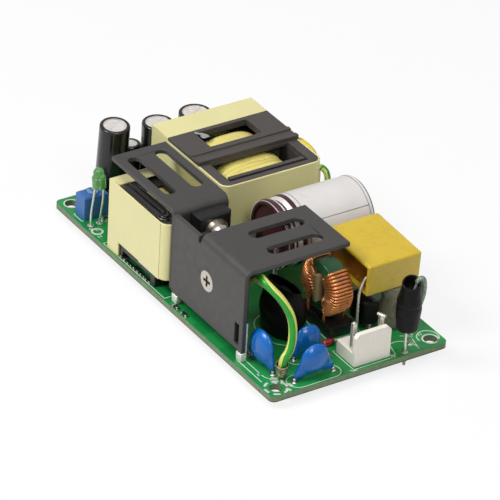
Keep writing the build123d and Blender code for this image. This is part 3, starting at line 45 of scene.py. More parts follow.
X_AXIS, Y_AXIS, Z_AXIS = Vector((1, 0, 0)), Vector((0, 1, 0)), Vector((0, 0, 1))


# Helpers: colours, points and finished pieces
def rgb(red, green, blue):
    """An 8 bit display colour as the linear colour that shaders take."""
    shares = [value / 255 for value in (red, green, blue)]
    return tuple(c / 12.92 if c <= 0.04045 else ((c + 0.055) / 1.055) ** 2.4 for c in shares)


def scaled(colour, factor):
    return tuple(min(1.0, c * factor) for c in colour)


def vec(x, y, z):
    """A point given in millimetres."""
    return Vector((x, y, z)) * MM


def mesh_object(name, verts, faces, slot, material, smooth=True):
    """A piece of the board's body, with doubled points joined and its faces turned outwards."""
    mesh = bpy.data.meshes.new(name)
    mesh.from_pydata([tuple(v) for v in verts], [], faces)
    mesh.validate()
    obj = bpy.data.objects.new(name, mesh)
    bpy.context.scene.collection.objects.link(obj)
    tidy = bmesh.new()
    tidy.from_mesh(mesh)
    bmesh.ops.remove_doubles(tidy, verts=tidy.verts, dist=1e-7)
    bmesh.ops.recalc_face_normals(tidy, faces=tidy.faces)
    tidy.to_mesh(mesh)
    tidy.free()
    mesh.materials.append(material)
    mesh.polygons.foreach_set("use_smooth", [smooth] * len(mesh.polygons))
    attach(obj, MAIN)
    return obj


def even(obj):
    """Shades large faces flat and the small ones between them round."""
    normals = obj.modifiers.new("normals", "WEIGHTED_NORMAL")
    normals.keep_sharp = False
    return obj


def soften(obj, width, segments=2):
    """Rounds the sharp edges of a piece and shades it evenly."""
    weld = obj.modifiers.new("weld", "WELD")
    weld.merge_threshold = 1e-6
    bevel = obj.modifiers.new("bevel", "BEVEL")
    bevel.width = width * MM
    bevel.segments = segments
    bevel.limit_method = "ANGLE"
    bevel.angle_limit = math.radians(35)
    bevel.use_clamp_overlap = True
    return even(obj)


def shown_as(obj, *node_names):
    """Hides these CAD nodes, whose place this piece takes."""
    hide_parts(*node_names)
    return obj


# Helpers: lines, rings and outlines
def around(sides):
    """Evenly spaced angles of one full turn."""
    return [math.tau * k / sides for k in range(sides)]


def frame_of(axis, hint=Z_AXIS):
    """Two unit vectors across an axis."""
    axis = Vector(axis).normalized()
    if abs(axis.dot(hint)) > 0.95:
        hint = X_AXIS
    across = hint.cross(axis).normalized()
    return across, axis.cross(across)


def skin(rings, loop=False, ends=True):
    """Vertices and faces of a skin over rings that have equally many points."""
    size = len(rings[0])
    faces = []
    for i in range(len(rings) if loop else len(rings) - 1):
        a, b = i * size, ((i + 1) % len(rings)) * size
        for j in range(size):
            k = (j + 1) % size
            faces.append((a + j, a + k, b + k, b + j))
    if ends and not loop:
        last = (len(rings) - 1) * size
        faces.append(tuple(range(size))[::-1])
        faces.append(tuple(range(last, last + size)))
    return [p for ring in rings for p in ring], faces


def path_points(points, steps):
    """A smooth line through the points, as a centripetal Catmull-Rom curve."""
    pts = [Vector(p) for p in points]
    pts = [2 * pts[0] - pts[1]] + pts + [2 * pts[-1] - pts[-2]]
    out = []
    for i in range(1, len(pts) - 2):
        p0, p1, p2, p3 = pts[i - 1 : i + 3]
        t1 = max((p1 - p0).length, 1e-9) ** 0.5
        t2 = t1 + max((p2 - p1).length, 1e-9) ** 0.5
        t3 = t2 + max((p3 - p2).length, 1e-9) ** 0.5
        for s in range(steps):
            t = t1 + (t2 - t1) * s / steps
            a1 = p0 * ((t1 - t) / t1) + p1 * (t / t1)
            a2 = p1 * ((t2 - t) / (t2 - t1)) + p2 * ((t - t1) / (t2 - t1))
            a3 = p2 * ((t3 - t) / (t3 - t2)) + p3 * ((t - t2) / (t3 - t2))
            b1 = a1 * ((t2 - t) / t2) + a2 * (t / t2)
            b2 = a2 * ((t3 - t) / (t3 - t1)) + a3 * ((t - t1) / (t3 - t1))
            out.append(b1 * ((t2 - t) / (t2 - t1)) + b2 * ((t - t1) / (t2 - t1)))
    out.append(pts[-2])
    return out


def round_off(points, steps):
    """A smooth line that cuts inside the corners of a route, as a bent wire does."""
    pts = [Vector(p) for p in points]
    middles = [pts[0]] + [(a + b) / 2 for a, b in zip(pts[1:-1], pts[2:-1])] + [pts[-1]]
    out = []
    for start, corner, end in zip(middles, pts[1:-1], middles[1:]):
        for t in (s / steps for s in range(steps)):
            out.append(start * (1 - t) ** 2 + corner * 2 * t * (1 - t) + end * t**2)
    return out + [pts[-1]]


def direction(line, i):
    """The way that a line runs at one of its points."""
    return (line[min(i + 1, len(line) - 1)] - line[max(i - 1, 0)]).normalized()


def arc(x, y, radius, start=0, end=360, count=24):
    """Points on a circle on the board, from one angle to another in degrees."""
    angles = [math.radians(start + (end - start) * i / count) for i in range(count + 1)]
    return [(x + radius * math.cos(a), y + radius * math.sin(a)) for a in angles]


def stadium(x, y, length, width, along_y):
    """Points of a long outline with round ends."""
    reach, radius = (length - width) / 2, width / 2
    ends = arc(reach, 0, radius, -90, 90, 10) + arc(-reach, 0, radius, 90, 270, 10)
    return [(x + b, y + a) if along_y else (x + a, y + b) for a, b in ends]


def bulge(angle, power):
    """A point of a rounded square of half width 1."""
    c, s = math.cos(angle), math.sin(angle)
    return math.copysign(abs(c) ** (2 / power), c), math.copysign(abs(s) ** (2 / power), s)


def ripple(angle, spread, level):
    """Smooth noise that closes on itself round a ring."""
    return noise.noise(Vector((math.cos(angle) * spread, math.sin(angle) * spread, level)))


class Pile:
    """Vertices and faces of several shapes that end up in one piece."""

    def __init__(self):
        self.verts = []
        self.faces = []

    def add(self, verts, faces):
        base = len(self.verts)
        self.verts += list(verts)
        self.faces += [tuple(base + i for i in f) for f in faces]
        return self

    def box(self, centre, size, axes=(X_AXIS, Y_AXIS, Z_AXIS)):
        """A block of a length, width and height, along the part's axes or its own."""
        across, along, up = (axis * length for axis, length in zip(axes, size))
        square = ((-0.5, -0.5), (0.5, -0.5), (0.5, 0.5), (-0.5, 0.5))
        corners = [
            (Vector(centre) + across * x + along * y + up * z) * MM for z in (-0.5, 0.5) for x, y in square
        ]
        sides = [(0, 1, 5, 4), (1, 2, 6, 5), (2, 3, 7, 6), (3, 0, 4, 7)]
        return self.add(corners, [(3, 2, 1, 0), (4, 5, 6, 7)] + sides)

    def lathe(self, profile, centre, axis=Z_AXIS, sides=40, ends=True):
        """A turned profile of (radius, height), which closes on itself where it has no ends."""
        axis = Vector(axis).normalized()
        across, up = frame_of(axis, X_AXIS)
        rings = []
        for radius, height in profile:
            middle = Vector(centre) * MM + axis * height * MM
            radius = max(radius, 0.001)
            spokes = [(radius * math.cos(a), radius * math.sin(a)) for a in around(sides)]
            rings.append([middle + across * x * MM + up * y * MM for x, y in spokes])
        return self.add(*skin(rings, not ends))

    def wire(self, line, radius, sides=8):
        """A tube straight from point to point, its rings carried along without twist."""
        pts = [Vector(p) for p in line]
        across = frame_of(direction(pts, 0))[0]
        rings = []
        for i, p in enumerate(pts):
            axis = direction(pts, i)
            across = (across - axis * across.dot(axis)).normalized()
            up = axis.cross(across)
            spokes = [(radius * math.cos(a), radius * math.sin(a)) for a in around(sides)]
            rings.append([(p + across * x + up * y) * MM for x, y in spokes])
        return self.add(*skin(rings))

    def tube(self, points, radius, sides=10, steps=6):
        """A tube along a smooth line through the points."""
        return self.wire(path_points(points, steps), radius, sides)

    def lead(self, x, y, top, middle, radius=0.3):
        """A straight wire down through the board."""
        return self.wire([(x, y, top), (x, y, middle), (x, y, LEAD_TIP)], radius)

    def ribbon(self, points, width=0.2, low=BOARD_TOP - 0.01, high=BOARD_TOP + 0.03, closed=False):
        """A flat line on the board through points (x, y)."""
        pts = [Vector(p) for p in points]
        count = len(pts)
        rings = []
        for i, p in enumerate(pts):
            before = pts[i - 1] if closed or i else None
            after = pts[(i + 1) % count] if closed or i < count - 1 else None
            arrive = (p - before).normalized() if before else (after - p).normalized()
            leave = (after - p).normalized() if after else arrive
            along = (arrive + leave).normalized()
            stretch = 1 / max(0.5, along.dot(leave))
            side = Vector((-along.y, along.x)) * (width / 2 * stretch)
            corners = ((p - side, low), (p + side, low), (p + side, high), (p - side, high))
            rings.append([vec(q.x, q.y, z) for q, z in corners])
        return self.add(*skin(rings, closed))

    def frame_line(self, x0, y0, x1, y1):
        """A thin rectangle on the board."""
        return self.ribbon([(x0, y0), (x1, y0), (x1, y1), (x0, y1)], closed=True)

    def piece(self, name, slot, material, smooth=True):
        return mesh_object(name, self.verts, self.faces, slot, material, smooth)


# Shader nodes
def feed(tree, socket, value):
    """Links a socket to another one, or sets its own value."""
    if isinstance(value, bpy.types.NodeSocket):
        tree.links.new(value, socket)
    else:
        socket.default_value = value


def set_inputs(tree, node, **inputs):
    """Feeds the named sockets of a node, where _ stands for a space."""
    for name, value in inputs.items():
        feed(tree, node.inputs[name.replace("_", " ")], value)
    return node


def new_node(tree, kind, **inputs):
    return set_inputs(tree, tree.nodes.new("ShaderNode" + kind), **inputs)


def mix_colour(tree, factor, first, second):
    node = new_node(tree, "Mix")
    node.data_type = "RGBA"
    for socket, value in ((node.inputs[6], first), (node.inputs[7], second)):
        feed(tree, socket, (*value, 1) if isinstance(value, tuple) else value)
    feed(tree, node.inputs[0], factor)
    return node.outputs[2]


def math_node(tree, operation, *values):
    node = new_node(tree, "Math")
    node.operation = operation
    for socket, value in zip(node.inputs, values):
        feed(tree, socket, value)
    return node.outputs[0]


def colour_ramp(tree, factor, low, high, start=0.0, end=1.0):
    """A run from one colour to another."""
    ramp = new_node(tree, "ValToRGB", Fac=factor)
    for stop, position, colour in zip(ramp.color_ramp.elements, (start, end), (low, high)):
        stop.position = position
        stop.color = (*colour, 1)
    return ramp.outputs["Color"]


def surface(
    name, colour, rough, vary=0.06, grain=700.0, bump=0.0, bump_grain=None, rough_vary=0.08, **sockets
):
    """A procedural finish: mottled colour and roughness, with fine relief where asked."""
    material = bpy.data.materials.new(name)
    material.use_nodes = True
    tree = material.node_tree
    shader = tree.nodes["Principled BSDF"]
    place = new_node(tree, "TexCoord").outputs["Object"]
    mottle = new_node(tree, "TexNoise", Scale=grain, Detail=5, Vector=place).outputs["Fac"]
    low, high = 0.3, 0.7
    shades = colour_ramp(tree, mottle, scaled(colour, 1 - vary), scaled(colour, 1 + vary), low, high)
    dull, matt = max(0.02, rough - rough_vary), min(1.0, rough + rough_vary)
    spread = new_node(tree, "MapRange", From_Min=low, From_Max=high, To_Min=dull, To_Max=matt, Value=mottle)
    set_inputs(tree, shader, Base_Color=shades, Roughness=spread.outputs["Result"])
    if bump:
        relief = new_node(tree, "TexNoise", Scale=bump_grain or 3 * grain, Detail=4, Vector=place)
        bumps = new_node(tree, "Bump", Strength=1.0, Distance=bump * MM, Height=relief.outputs["Fac"])
        set_inputs(tree, shader, Normal=bumps.outputs["Normal"])
    set_inputs(tree, shader, **sockets)
    return material


def board_surface():
    """Green solder mask over copper and laminate, with the cut edge showing."""
    material = surface("board mask", rgb(20, 124, 58), 0.34, vary=0.12, grain=210, rough_vary=0.06)
    tree = material.node_tree
    shader = tree.nodes["Principled BSDF"]
    base = shader.inputs["Base Color"].links[0].from_socket
    place = new_node(tree, "TexCoord").outputs["Object"]
    # Copper areas under the mask, and thin dark lines between them
    cells = new_node(tree, "TexVoronoi", Scale=150, Vector=place)
    cells.distance = "CHEBYCHEV"
    split = new_node(tree, "SeparateColor", Color=cells.outputs["Color"])
    pour = math_node(tree, "MULTIPLY", math_node(tree, "GREATER_THAN", split.outputs["Red"], 0.5), 0.35)
    masked = mix_colour(tree, pour, base, rgb(40, 152, 78))
    black, white = (0, 0, 0, 1), (1, 1, 1, 1)
    lines = new_node(tree, "TexBrick", Scale=240, Mortar_Size=0.012, Vector=place)
    set_inputs(tree, lines, Color1=black, Color2=black, Mortar=white)
    track = math_node(tree, "MULTIPLY", lines.outputs["Fac"], 0.3)
    masked = mix_colour(tree, track, masked, rgb(12, 90, 42))
    # The sawn edge, with a brown line along its foot
    normal = new_node(tree, "SeparateXYZ", Vector=new_node(tree, "NewGeometry").outputs["Normal"])
    upright = math_node(tree, "LESS_THAN", math_node(tree, "ABSOLUTE", normal.outputs["Z"]), 0.5)
    layers = new_node(tree, "TexNoise", Scale=900, Vector=place)
    cut = colour_ramp(tree, layers.outputs["Fac"], rgb(66, 92, 62), rgb(118, 138, 98))
    height = new_node(tree, "SeparateXYZ", Vector=place)
    low = math_node(tree, "LESS_THAN", height.outputs["Z"], 0.25 * MM)
    edge = mix_colour(tree, low, cut, rgb(74, 66, 48))
    set_inputs(tree, shader, Base_Color=mix_colour(tree, upright, masked, edge))
    return material


# Materials
board_mask = board_surface()
anodised = surface("dark anodised sheet", rgb(62, 60, 59), 0.47, vary=0.07, grain=420, bump=0.004,
                   bump_grain=5200, Metallic=0.15)
black_film = surface("black film", rgb(24, 24, 24), 0.45, bump=0.003)
plated = surface("plated steel", rgb(196, 190, 180), 0.25, vary=0.08, grain=900, bump=0.002, Metallic=1.0)
epoxy = surface("moulded epoxy", rgb(20, 20, 22), 0.42, vary=0.1, grain=900, bump=0.004, bump_grain=6000,
                Specular_IOR_Level=0.35)
black_nylon = surface("black bobbin", rgb(22, 21, 21), 0.3, vary=0.1, grain=500, bump=0.004,
                      bump_grain=2600, Specular_IOR_Level=0.4)
frame_grey = surface("grey black bobbin", rgb(66, 61, 58), 0.55, vary=0.12, grain=700, bump=0.006,
                     bump_grain=2600)
ferrite = surface("ferrite", rgb(52, 50, 50), 0.5, vary=0.12, grain=900, bump=0.01, bump_grain=4000)
tape = surface("pale yellow tape", rgb(217, 210, 152), 0.33, vary=0.035, grain=90, bump=0.012,
               bump_grain=300, Coat_Weight=0.25, Coat_Roughness=0.2)
coil_tape = surface("coil tape", rgb(214, 200, 112), 0.3, vary=0.09, grain=200, bump=0.02, bump_grain=500,
                    Coat_Weight=0.3, Coat_Roughness=0.2)
tinned = surface("tinned wire", rgb(216, 212, 202), 0.3, vary=0.12, grain=900, bump=0.006, Metallic=0.75)
solder = surface("solder", rgb(200, 198, 192), 0.24, vary=0.12, grain=700, bump=0.02, bump_grain=900,
                 Metallic=1.0)
yellow_wire = surface("yellow insulation", rgb(214, 186, 50), 0.35, bump=0.004)
wire_green = surface("green insulation", rgb(30, 138, 38), 0.33, vary=0.08, bump=0.004)
wire_yellow = surface("yellow stripe", rgb(204, 206, 104), 0.33, vary=0.06, bump=0.004)
can_metal = surface("can aluminium", rgb(226, 220, 216), 0.4, vary=0.05, grain=900, bump=0.003,
                    Metallic=0.45)
rubber = surface("rubber seal", rgb(30, 26, 26), 0.7, bump=0.01)
maroon = surface("maroon sleeve", rgb(62, 30, 36), 0.34, vary=0.1, grain=300, bump=0.01, bump_grain=500,
                 Coat_Weight=0.12, Coat_Roughness=0.15, Specular_IOR_Level=0.35)
label = surface("plain label", rgb(212, 208, 206), 0.34, vary=0.03, grain=160, bump=0.006, bump_grain=300,
                Coat_Weight=0.3, Coat_Roughness=0.2)
yellow_case = surface("yellow case", rgb(201, 172, 43), 0.3, vary=0.05, grain=260, bump=0.004,
                      bump_grain=3000, Coat_Weight=0.2, Coat_Roughness=0.2)
resin = surface("amber resin", rgb(136, 84, 14), 0.2, vary=0.2, grain=260, bump=0.02, bump_grain=500,
                Coat_Weight=0.6)
silicone = surface("clear silicone", rgb(150, 148, 128), 0.3, vary=0.12, grain=260, bump=0.03,
                   bump_grain=420, Transmission_Weight=0.35, IOR=1.4)
green_coat = surface("green ring coat", rgb(38, 86, 54), 0.35, vary=0.1, bump=0.01, bump_grain=800)
copper = surface("enamelled copper", rgb(232, 148, 86), 0.3, vary=0.14, grain=500, bump=0.004, Metallic=0.72,
                 Coat_Weight=0.6, Coat_Roughness=0.15)
cream = surface("fibre divider", rgb(150, 138, 98), 0.7, vary=0.1, bump=0.01)
blue_dip = surface("blue dip", rgb(4, 94, 172), 0.26, vary=0.08, grain=260, bump=0.01, bump_grain=420,
                   Coat_Weight=0.25, Coat_Roughness=0.08, Specular_IOR_Level=0.35)
nylon = surface("white nylon", rgb(232, 225, 214), 0.42, vary=0.03, grain=300, bump=0.004, bump_grain=2200,
                Subsurface_Weight=0.08, Subsurface_Radius=(0.002, 0.0018, 0.0015))
shrink = surface("black shrink sleeve", rgb(15, 13, 13), 0.4, vary=0.12, grain=400, bump=0.03,
                 bump_grain=500, Specular_IOR_Level=0.16)
clear = surface("clear glass", rgb(210, 225, 214), 0.08, vary=0.02, Transmission_Weight=0.85, IOR=1.45)
lens_green = surface("green lens", rgb(120, 200, 116), 0.14, vary=0.06, grain=300, Transmission_Weight=0.7,
                     IOR=1.45, Coat_Weight=0.3)
lens_inside = surface("lamp frame", rgb(150, 170, 140), 0.35, Metallic=0.6)
trimmer_blue = surface("blue moulding", rgb(50, 100, 162), 0.4, vary=0.06, grain=400, bump=0.004)
rotor_blue = surface("rotor moulding", rgb(110, 146, 190), 0.42, vary=0.06, grain=400, bump=0.004)
red_glass = surface("red glass", rgb(150, 30, 36), 0.15, vary=0.15, grain=700, Coat_Weight=0.6)
sleeve_black = surface("black film sleeve", rgb(18, 20, 19), 0.22, vary=0.12, grain=300, bump=0.008,
                       bump_grain=500, Coat_Weight=0.25, Coat_Roughness=0.1, Specular_IOR_Level=0.35)
mark = surface("white marking", rgb(196, 214, 196), 0.5, vary=0.08, grain=2400)
grey_clear = surface("clear tubing", rgb(150, 168, 152), 0.25, vary=0.06, Transmission_Weight=0.6, IOR=1.4)
glue_grey = surface("dried glue", rgb(150, 148, 146), 0.35, vary=0.15, grain=1200)
rim_black = surface("polished bobbin rim", rgb(24, 24, 25), 0.18, vary=0.08, grain=500, Coat_Weight=0.4)
terminal_metal = surface("dull tinned brass", rgb(150, 142, 116), 0.34, vary=0.18, grain=900, bump=0.01,
                         bump_grain=1500, Metallic=0.9)
land_metal = surface("tinned land", rgb(222, 222, 214), 0.38, vary=0.12, grain=900, Metallic=0.35)
stripe_grey = surface("grey marking", rgb(96, 100, 98), 0.35, vary=0.2, grain=2400)

# The finish of every CAD node
FINISH = (
    (board_mask, "circuit_board"),
    (anodised, "side_heatsink top_heatsink"),
    (black_film, "insulating_sheet"),
    (plated, "countersunk_screw hex_nut clamp_screw spring_washer flat_washer"),
    (epoxy, "bridge_rectifier power_transistor varistor thermistor"),
    (black_nylon, "choke_bobbin line_choke_base"),
    (frame_grey, "transformer_bobbin"),
    (ferrite, "choke_core transformer_core"),
    (coil_tape, "choke_winding primary_winding secondary_winding"),
    (tape, "choke_tape transformer_tape"),
    (yellow_wire, "secondary_leads"),
    (wire_green, "shield_lead earth_wire"),
    (tinned, "bobbin_pins bulk_capacitor_leads x_capacitor_leads input_pins output_pins led_leads"),
    (tinned, "earth_terminal"),
    (can_metal, "bulk_capacitor_can"),
    (maroon, "bulk_capacitor_seal bulk_capacitor_sleeve"),
    (label, "bulk_capacitor_label"),
    (yellow_case, "x_capacitor_case"),
    (resin, "x_capacitor_resin"),
    (silicone, "silicone_bead"),
    (green_coat, "line_choke_core"),
    (copper, "line_choke_winding_left line_choke_winding_right"),
    (cream, "line_choke_divider"),
    (shrink, "varistor_sleeve fuse_sleeve"),
    (blue_dip, "y_capacitor_front y_capacitor_rear y_capacitor_right"),
    (nylon, "input_housing output_housing"),
    (clear, "fuse"),
    (lens_green, "led_lens"),
    (trimmer_blue, "trimmer_body"),
    (rotor_blue, "trimmer_rotor"),
    (sleeve_black, "output_capacitor_1 output_capacitor_2 output_capacitor_3 small_capacitor"),
    (red_glass, "signal_diode"),
)
for material, names in FINISH:
    for node_name in names.split():
        node = nodes[node_name]
        node.data.materials.clear()
        node.data.materials.append(material)

# Edges that the real parts have rounded
EDGES = (
    (0.12, "power_transistor"),
    (0.15, "choke_bobbin transformer_bobbin input_housing output_housing input_pins output_pins"),
    (0.16, "side_heatsink top_heatsink"),
    (0.2, "bridge_rectifier trimmer_body line_choke_base"),
    (0.25, "x_capacitor_case"),
    (0.3, "choke_tape transformer_tape"),
)
for width, names in EDGES:
    for node_name in names.split():
        soften(nodes[node_name], width)


# Lamp on its long legs
def lamp():
    """A domed lens on a collar, the frame inside it, and two legs that bend to the board."""
    rim, dome, shoulder, height = 1.78, 1.42, 3.0, 5.6
    profile = [(rim - 0.15, 0), (rim, 0.12), (rim, shoulder - 0.15), (rim - 0.1, shoulder)]
    profile += [(dome + 0.05, shoulder), (dome, shoulder + 0.08)]
    for a in (math.pi / 2 * i / 8 for i in range(1, 9)):
        profile.append((dome * math.cos(a), height - dome + dome * math.sin(a)))
    lens = Pile().lathe(profile, (-35.2, -21.8, 12.9), (-0.03, -0.06, 1), 36)
    shown_as(even(lens.piece("led_lens_smooth", "green_lens", lens_green)), "led_lens")
    chip = Pile().box((-35.25, -22.5, 14.5), (0.9, 0.9, 3.2)).box((-35.25, -21.2, 14.2), (0.5, 0.5, 2.6))
    chip.piece("led_frame", "tinned", lens_inside, smooth=False)
    legs = Pile()
    for side, bow in ((-1, -0.35), (1, 0.2)):
        foot = (-36.2, -22.1 + side * 1.27)
        bends = [(-35.2, -21.8 + side * 1.2, 13.1), (-35.3 + bow, -21.9 + side * 1.25, 9.5)]
        bends += [(-36.0 + bow / 2, -22.0 + side * 1.35, 5.0), (*foot, BOARD_TOP), (*foot, LEAD_TIP)]
        legs.tube(bends, 0.29, 8)
    shown_as(legs.piece("led_legs", "tinned", tinned), "led_leads")


lamp()

# The trimmer's seat: a low collar round its rotor, and three marks of its travel
TRIMMER_X, TRIMMER_Y = -40.9, -20.3
profile = [(1.66, 8.18), (2.0, 8.18), (2.0, 8.26), (1.92, 8.32), (1.74, 8.32), (1.66, 8.26)]
collar = Pile().lathe(profile, (TRIMMER_X, TRIMMER_Y, 0), ends=False)
for a in (math.radians(60 + 60 * i) for i in range(3)):
    x, y = TRIMMER_X + 2.25 * math.cos(a) * 0.8, TRIMMER_Y + 2.6 * math.sin(a)
    collar.box((x, y, 8.21), (0.2, 0.34, 0.06))
collar.piece("trimmer_collar", "blue_body", trimmer_blue)


# Blue disc capacitors
def disc_reach(radius, pitch, rise, foot, half_leg, spokes=84):
    """How far a disc's outline lies from its middle along each spoke, with its skirt round the leads."""
    low = foot - rise
    outer, inner = pitch / 2 + half_leg, pitch / 2 - half_leg
    skirt = [(-radius * 0.94, 0.4), (-outer, low), (-inner, low)]
    skirt += [(0, -radius + 0.5), (inner, low), (outer, low)]
    skirt += [(radius * 0.94, 0.4)]
    reach = []
    for a in around(spokes):
        d = Vector((math.cos(a), math.sin(a)))
        best = radius
        for p, q in zip(skirt, skirt[1:]):
            e = Vector((q[0] - p[0], q[1] - p[1]))
            cross = d.x * e.y - d.y * e.x
            if abs(cross) > 1e-9:
                t = (p[0] * e.y - p[1] * e.x) / cross
                u = (p[0] * d.y - p[1] * d.x) / cross
                if t > 0 and 0 <= u <= 1:
                    best = max(best, t)
        reach.append(best)
    for _ in range(3):
        reach = [(reach[i - 1] + 2 * reach[i] + reach[(i + 1) % spokes]) / 4 for i in range(spokes)]
    return reach


def dipped_disc(name, node, centre, along_y, radius, pitch):
    """A disc capacitor dipped in resin: a lens that runs down over its two leads."""
    rise, foot, half_leg, belly = 6.6, 2.15, 0.75, 1.85
    reach = disc_reach(radius, pitch, rise, foot, half_leg)
    steps = [math.sin(math.pi / 2 * j / 17) for j in range(18)]

    def place(u, v, w):
        z = rise + v
        return Vector((centre[0] + w, centre[1] + u, z) if along_y else (centre[0] + u, centre[1] + w, z))

    shell = Pile()
    for side in (-1, 1):
        rings = []
        for s in steps:
            ring = []
            for a, far in zip(around(len(reach)), reach):
                u, v = s * far * math.cos(a), s * far * math.sin(a)
                lens = belly * math.sqrt(max(0.0, 1 - min(1.0, (s * far / (radius * 1.02)) ** 2)))
                swell = (lens**3 + half_leg**3) ** (1 / 3) * math.sqrt(1 - s**6)
                lumps = 0.05 * noise.noise(Vector((u * 0.5, v * 0.5, side + centre[0])))
                ring.append(place(u, v, side * (swell + lumps * (1 - s))) * MM)
            rings.append(ring)
        shell.add(*skin(rings, ends=False))
    shown_as(shell.piece(name, "blue_dip", blue_dip), node)
    wires = Pile()
    for u in (-pitch / 2, pitch / 2):
        wires.wire([place(u, v, 0) for v in (foot - rise + 0.4, foot - rise - 0.2, LEAD_TIP - rise)], 0.3)
    wires.piece(name + "_wires", "tinned", tinned)


dipped_disc("front_disc", "y_capacitor_front", (37.4, -19.8), False, 4.5, 10.0)
dipped_disc("rear_disc", "y_capacitor_rear", (39.4, -8.2), True, 3.6, 7.5)
dipped_disc("right_disc", "y_capacitor_right", (47.6, -11.6), True, 3.9, 11.0)

# Line choke: a coated ring with two windings
RING = (28.9, 4.0, 12.2)


def ring_winding(name, node, side, turns=17):
    """Turns of enamelled wire round one half of the ring, two deep inside it."""
    start = (0 if side > 0 else math.pi) - math.radians(61)
    pitch = math.radians(122) / turns
    wire, steps = 0.37, 18
    outer, inner, half = 6.9 + wire, 3.7 - wire, 2.4 + wire
    middle = (outer + inner) / 2
    line = []
    for i in range(turns):
        stack = 0.62 if i % 2 else 0.0
        for t in (k / steps for k in range(steps)):
            x, y = bulge(math.tau * t - math.pi / 2, 5.5)
            depth = (outer - inner) / 2 + (stack if x < 0 else 0.0)
            lag = max(0.0, t - 0.5) * 2
            a = start + pitch * (i + 0.5 + 0.9 * (lag - 0.5))
            r = middle + x * depth
            line.append((RING[0] + r * math.cos(a), RING[1] + y * half, RING[2] + r * math.sin(a)))
    pile = Pile().wire(line, wire, 7)
    for end in (-1, 1):
        x, y = RING[0] + side * 3.4, RING[1] + end * 2.775
        bend = (x + side * 0.1, y + end * 0.15, 5.6)
        pile.tube([(x, y, 6.9), bend, (x, y, 4.4), (x, y, LEAD_TIP)], wire, 8)
    shown_as(pile.piece(name, "copper", copper), node)


ring_winding("left_turns", "line_choke_winding_left", -1)
ring_winding("right_turns", "line_choke_winding_right", 1)
profile = [(3.75, -2.1), (4.05, -2.4), (6.55, -2.4), (6.88, -2.1), (6.88, 2.1), (6.55, 2.4), (4.05, 2.4)]
core = Pile().lathe(profile + [(3.75, 2.1)], RING, Y_AXIS, 96, ends=False)
shown_as(even(core.piece("coated_ring", "green_core", green_coat)), "line_choke_core")

# Shrink sleeves
VARISTOR_X, VARISTOR_Y = 26.7, -7.0
FUSE_X, FUSE_Y = 49.4, 13.5
FUSE = Vector((FUSE_X, FUSE_Y, 0))
FUSE_LEAN = Vector((0.028, 0.012, 0))


def oval_sleeve():
    """The varistor's shrink sleeve: round over the disc, pinched flat above it."""
    levels = [(1.75, 6.2, 4.1), (3.0, 6.5, 4.6), (5.5, 6.75, 5.1), (8.0, 6.8, 5.2), (10.3, 6.6, 4.4)]
    levels += [(12.2, 6.3, 3.1), (13.5, 6.1, 2.2), (14.4, 6.05, 1.85)]
    line = path_points(levels, 4)
    wall = 0.32

    def ring(z, reach, depth):
        turn = math.radians(5.6) * min(1.0, max(0.0, (z - 6) / 8))
        points = []
        for a in around(56):
            crease = ripple(a, 1.6, z * 0.28) * 0.16
            slack = 0.1 * math.sin(z * 1.9) * max(0.0, math.cos(2 * a)) if z < 12 else 0.0
            x, y = (reach + crease) * math.cos(a), (depth + crease + slack) * math.sin(a)
            east = VARISTOR_X + x * math.cos(turn) - y * math.sin(turn)
            north = VARISTOR_Y + x * math.sin(turn) + y * math.cos(turn)
            points.append(vec(east, north, z + (0.25 * math.cos(a) if z > 12 else 0.0)))
        return points

    rings = [ring(z, reach, depth) for z, reach, depth in line]
    rings += [ring(z, reach - wall, depth - wall) for z, reach, depth in reversed(line)]
    shown_as(mesh_object("oval_sleeve", *skin(rings, True), "black_sleeve", shrink), "varistor_sleeve")


def fuse_sleeve():
    """The fuse's shrink sleeve: wide round the glass, narrower above, with a slanting mouth."""
    levels = [(8.45, 2.5), (8.8, 2.68), (10.2, 2.88), (12.6, 3.03), (14.8, 3.08), (15.4, 2.97)]
    levels += [(16.0, 3.06), (17.2, 2.92), (18.6, 2.66), (19.8, 2.47), (20.8, 2.34), (21.5, 2.28)]
    line = path_points([(z, r, 0) for z, r in levels], 4)
    rings = []
    for wall, ordered in ((0.0, line), (0.34, reversed(line))):
        for z, r, _ in ordered:
            middle = FUSE + FUSE_LEAN * (z - 8.5)
            ring = []
            for a in around(44):
                fold = 0.07 * math.sin(3 * a + z * 0.9) * min(1.0, max(0.0, (z - 13) / 3))
                reach = r - wall + 0.13 * ripple(a, 1.3, z * 0.45) + fold
                lift = -0.75 * math.cos(a + 0.6) * min(1.0, max(0.0, (z - 18.5) / 3)) ** 2
                ring.append(vec(middle.x + reach * math.cos(a), middle.y + reach * math.sin(a), z + lift))
            rings.append(ring)
    shown_as(mesh_object("open_sleeve", *skin(rings, True), "black_sleeve", shrink), "fuse_sleeve")


oval_sleeve()
fuse_sleeve()

# The fuse in its sleeve, with one lead straight down and one looped over the top
body = Pile().lathe([(1.6, 9.25), (2.2, 9.25), (2.2, 17.15), (1.6, 17.15)], FUSE, sides=32, ends=False)
shown_as(body.piece("fuse_glass", "glass_body", clear), "fuse")
caps = Pile()
for z0, z1 in ((9.15, 11.2), (15.2, 17.25)):
    caps.lathe([(2.0, z0), (2.26, z0 + 0.2), (2.26, z1 - 0.2), (2.0, z1)], FUSE, sides=32)
foot = (FUSE_X, FUSE_Y)
caps.tube([(*foot, 9.4), (49.35, 13.45, 6.0), (*foot, BOARD_TOP), (*foot, LEAD_TIP)], 0.36)
route = [(*foot, 17.0), (49.7, 14.7, 19.0), (49.8, 15.6, 21.9), (50.2, 16.8, 22.0), (49.9, 17.4, 18.4)]
route += [(48.8, 17.4, 14.0), (47.2, 17.0, 10.0), (47.0, 16.8, 4.0), (47.0, 16.8, LEAD_TIP)]
loop = round_off(route, 6)
caps.wire(loop, 0.36, 10)
caps.piece("fuse_caps", "tinned", tinned)
